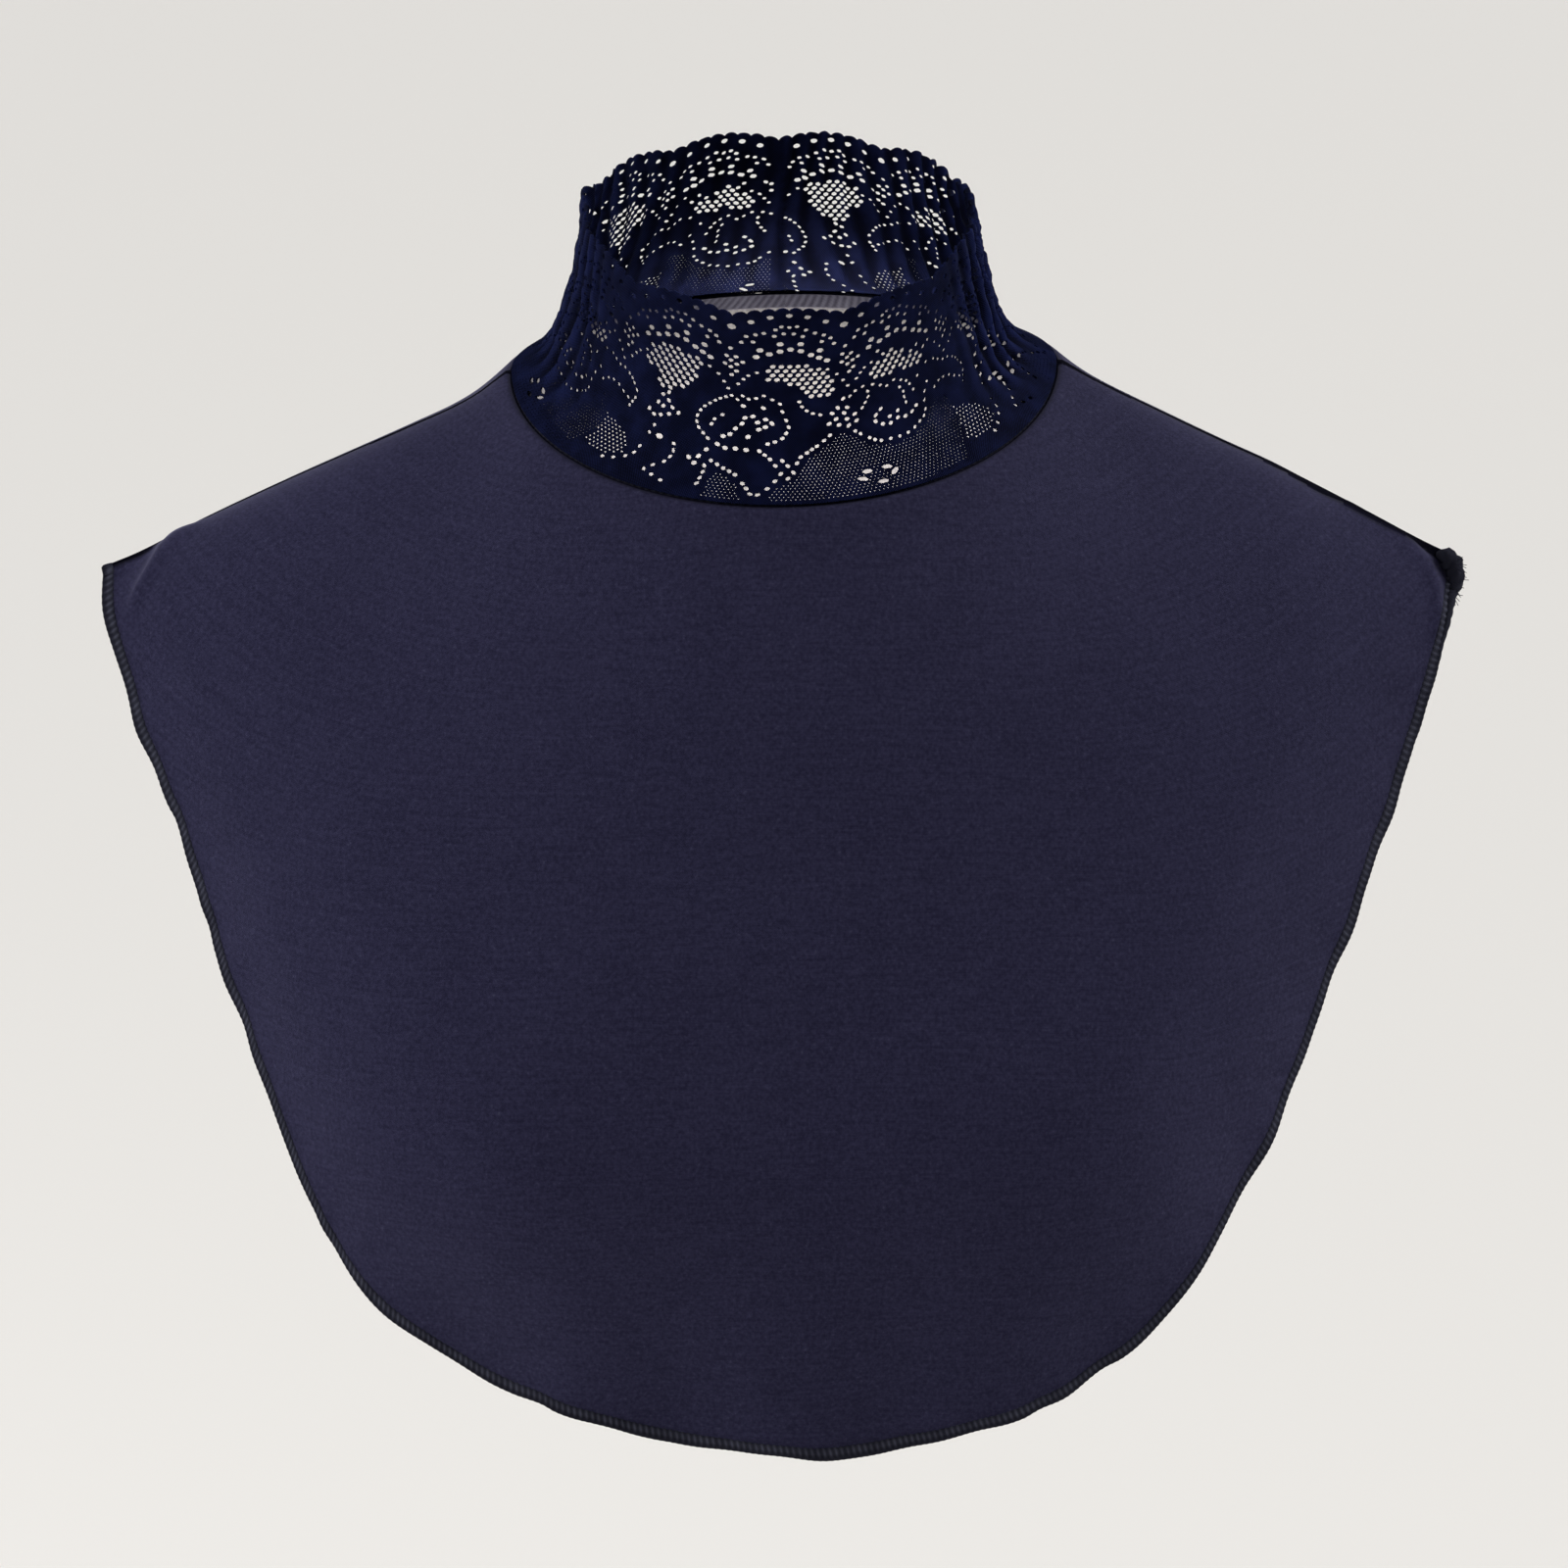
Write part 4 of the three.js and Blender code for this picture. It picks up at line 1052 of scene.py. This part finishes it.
# Seam allowances inside: round the neck, and hanging under each shoulder
allowance = {
    "depth": 1.3, "wall": 0.9, "bottom": -0.8, "frontHeight": 1.7, "sideHeight": 4.9, "riseTurn": (0.5, 1.2),
    "columns": 900, "rows": 7, "radius": 72, "ridgePitch": 2.2, "ridgeHeight": 0.14, "slant": 1.2,
    "rung": 0.3,
}


def makeNeckSeam():
    build = allowance
    turn = np.linspace(-math.pi, math.pi, build["columns"], endpoint=False)[None, :]
    rise = smoothStep(np.abs(turn), *build["riseTurn"])
    reach = build["frontHeight"] + (build["sideHeight"] - build["frontHeight"]) * rise
    up = np.linspace(0, 1, build["rows"])[:, None]
    height = build["bottom"] + up * (reach - build["bottom"])
    turn = np.broadcast_to(turn, height.shape)
    around = turn * build["radius"]
    ridge = 0.5 + 0.5 * np.cos(2 * math.pi * around / build["ridgePitch"] + height * build["slant"])
    lift = build["ridgeHeight"] * (ridge - 0.5)
    share = height / collarHeight
    middle, normal = collarPoint(turn, share), normalsOf(collarPoint, turn, share)
    outer = middle - normal * (build["depth"] - np.minimum(lift, 0))[..., None]
    inner = middle - normal * (build["depth"] + build["wall"] + lift)[..., None]
    uv = np.stack([around, height], -1)
    piece = newPiece("neck_allowance", [outer, inner], wallFaces(*share.shape, closedRound=True), [uv, uv],
                     edgeThread, {"rung": build["rung"] * np.stack([ridge, ridge])})
    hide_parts("neck_seam")
    return piece


shoulderFin = {
    "half": 0.4, "height": 4.5, "start": 5.0, "tuft": 3.5, "gap": 0.55, "drop": 3.2,
    "dropShare": (0.55, 0.95), "columns": 420, "rows": 8, "ridgePitch": 1.1, "ridgeDepth": 0.28,
    "slant": 0.4, "rung": 0.3,
}
# The overlock's loose end at the right shoulder tip: a knot in millimetres, its tail in degrees along the
# hem, and frayed threads that start on them
tuft = {
    "knot": [(196.6, -1.2, -58.8), (199.8, -2.0, -59.0), (201.6, -2.2, -62), (202, -2.8, -66),
             (201, -3.6, -69.6)],
    "tail": [87.1, 86.1, 85.1, 84, 83, 82], "tailIn": 0.8, "tailDown": -0.4,
    "radii": [0.7, 2.8, 3.2, 2.8, 2.2, 1.9, 1.5, 1.3, 1.1, 0.9, 0.3], "rings": 56, "sides": 18,
    "lumps": 0.26, "lumpsRound": (3, 2), "lumpsAlong": (0.9, 0.55), "ringStart": (0.2, 1.0, 0.1),
    "threads": 30, "firstRing": 6, "lastShare": 0.42, "threadSteps": 7, "threadSides": 5,
    "threadRadius": 0.17, "thinning": 0.5, "long": (3.0, 4.4), "fan": (-1.1, 0.7), "lean": (-0.9, 0.2),
    "bend": (-0.4, 0.4), "swing": (-1, 1), "curl": 1.2, "pale": (0, 0.9), "knotPale": 0.15, "seed": 11,
}


def tubeAlong(path, radii, sides, lumps=0.0):
    # a closed tube round a path, with a radius at each of its points
    radii = np.asarray(radii, float)[:, None]
    along = unit(np.gradient(path, axis=0))
    across = unit(np.cross(along, tuft["ringStart"]))
    up = np.cross(across, along)
    turn = np.linspace(0, 2 * math.pi, sides, endpoint=False)[None, :]
    row = np.arange(len(path))[:, None]
    for turns, rings in zip(tuft["lumpsRound"], tuft["lumpsAlong"]):
        lumps = lumps * np.sin(turns * turn + rings * row)
    reach = radii * (1 + lumps)
    around = across[:, None] * np.cos(turn)[..., None] + up[:, None] * np.sin(turn)[..., None]
    points = path[:, None] + reach[..., None] * around
    uv = np.stack(np.broadcast_arrays(lengthAlong(path)[:, None], turn * radii), -1)
    faces = tubeFaces(np.arange(reach.size).reshape(reach.shape))
    return points.reshape(-1, 3), faces, uv.reshape(-1, 2)


def makeTuft():
    # the knot, then its threads, as tubes with how pale each one is
    chance = np.random.default_rng(tuft["seed"])
    angle = np.radians(tuft["tail"])
    tailShare = 1 - tuft["tailIn"] / wayDown(frontPanel, angle)
    corners = np.vstack([tuft["knot"], drapedPoint(frontPanel, angle, tailShare, tuft["tailDown"])])
    place, atCorners = np.linspace(0, len(corners) - 1, tuft["rings"]), np.arange(len(corners))
    path = np.stack([np.interp(place, atCorners, corners[:, k]) for k in range(3)], -1)
    radii = np.interp(place, atCorners, tuft["radii"])
    tubes = [(*tubeAlong(path, radii, tuft["sides"], tuft["lumps"]), tuft["knotPale"])]
    step = np.linspace(0, 1, tuft["threadSteps"])[:, None]
    for _ in range(tuft["threads"]):
        start = path[int(chance.integers(tuft["firstRing"], int(tuft["lastShare"] * tuft["rings"])))]
        fan = chance.uniform(*tuft["fan"])
        aim = np.array([math.cos(fan), chance.uniform(*tuft["lean"]), math.sin(fan)])
        bend = np.array([-math.sin(fan), chance.uniform(*tuft["bend"]), math.cos(fan)])
        bend = bend * chance.uniform(*tuft["swing"])
        thread = start + aim * chance.uniform(*tuft["long"]) * step + bend * tuft["curl"] * step ** 2
        width = tuft["threadRadius"] * (1 - tuft["thinning"] * step[:, 0])
        tubes.append((*tubeAlong(thread, width, tuft["threadSides"]), chance.uniform(*tuft["pale"])))
    return tubes


def makeShoulderSeam(name, side, node):
    build = shoulderFin
    angle = side * quarterTurn
    way = wayDown(frontPanel, angle)
    end = 1 + (build["tuft"] / way if side > 0 else 0)
    share = np.linspace(build["start"] / way, end, build["columns"])[None, :]
    depth = np.linspace(0, 1, build["rows"])[:, None] * build["height"] + jerseyWall + build["gap"]
    depth = depth + build["drop"] * smoothStep(share, *build["dropShare"])
    share = np.broadcast_to(share, depth.shape)
    normal = panelNormal(frontPanel, np.full(share.shape, angle), np.minimum(share, 1))
    middle = panelPoint(frontPanel, angle, share) - normal * depth[..., None]
    ridge = 0.5 + 0.5 * np.cos(2 * math.pi * (share * way / build["ridgePitch"] + depth * build["slant"]))
    half = build["half"] * (1 - build["ridgeDepth"] * (1 - ridge))
    points = np.stack([middle, middle])
    points[..., 1] = np.stack([-half, half])
    points, uv = points.reshape(-1, 3), np.stack([share * way, depth], -1).reshape(-1, 2)
    uv, faces = np.vstack([uv, uv]), wallFaces(*share.shape).tolist()
    rung = build["rung"] * np.stack([ridge, ridge]).ravel()
    for tubePoints, tubeFaceList, tubeUv, pale in makeTuft() if side > 0 else []:
        faces += [[v + len(points) for v in face] for face in tubeFaceList]
        points, uv = np.vstack([points, tubePoints]), np.vstack([uv, tubeUv])
        rung = np.concatenate([rung, np.full(len(tubePoints), pale)])
    piece = newPiece(name, points, faces, uv, edgeThread, {"rung": rung})
    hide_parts(node)
    return piece


neckSeam = makeNeckSeam()
leftShoulderSeam = makeShoulderSeam("left_allowance", -1, "left_shoulder_seam")
rightShoulderSeam = makeShoulderSeam("right_allowance", 1, "right_shoulder_seam")

print("all pieces ready")
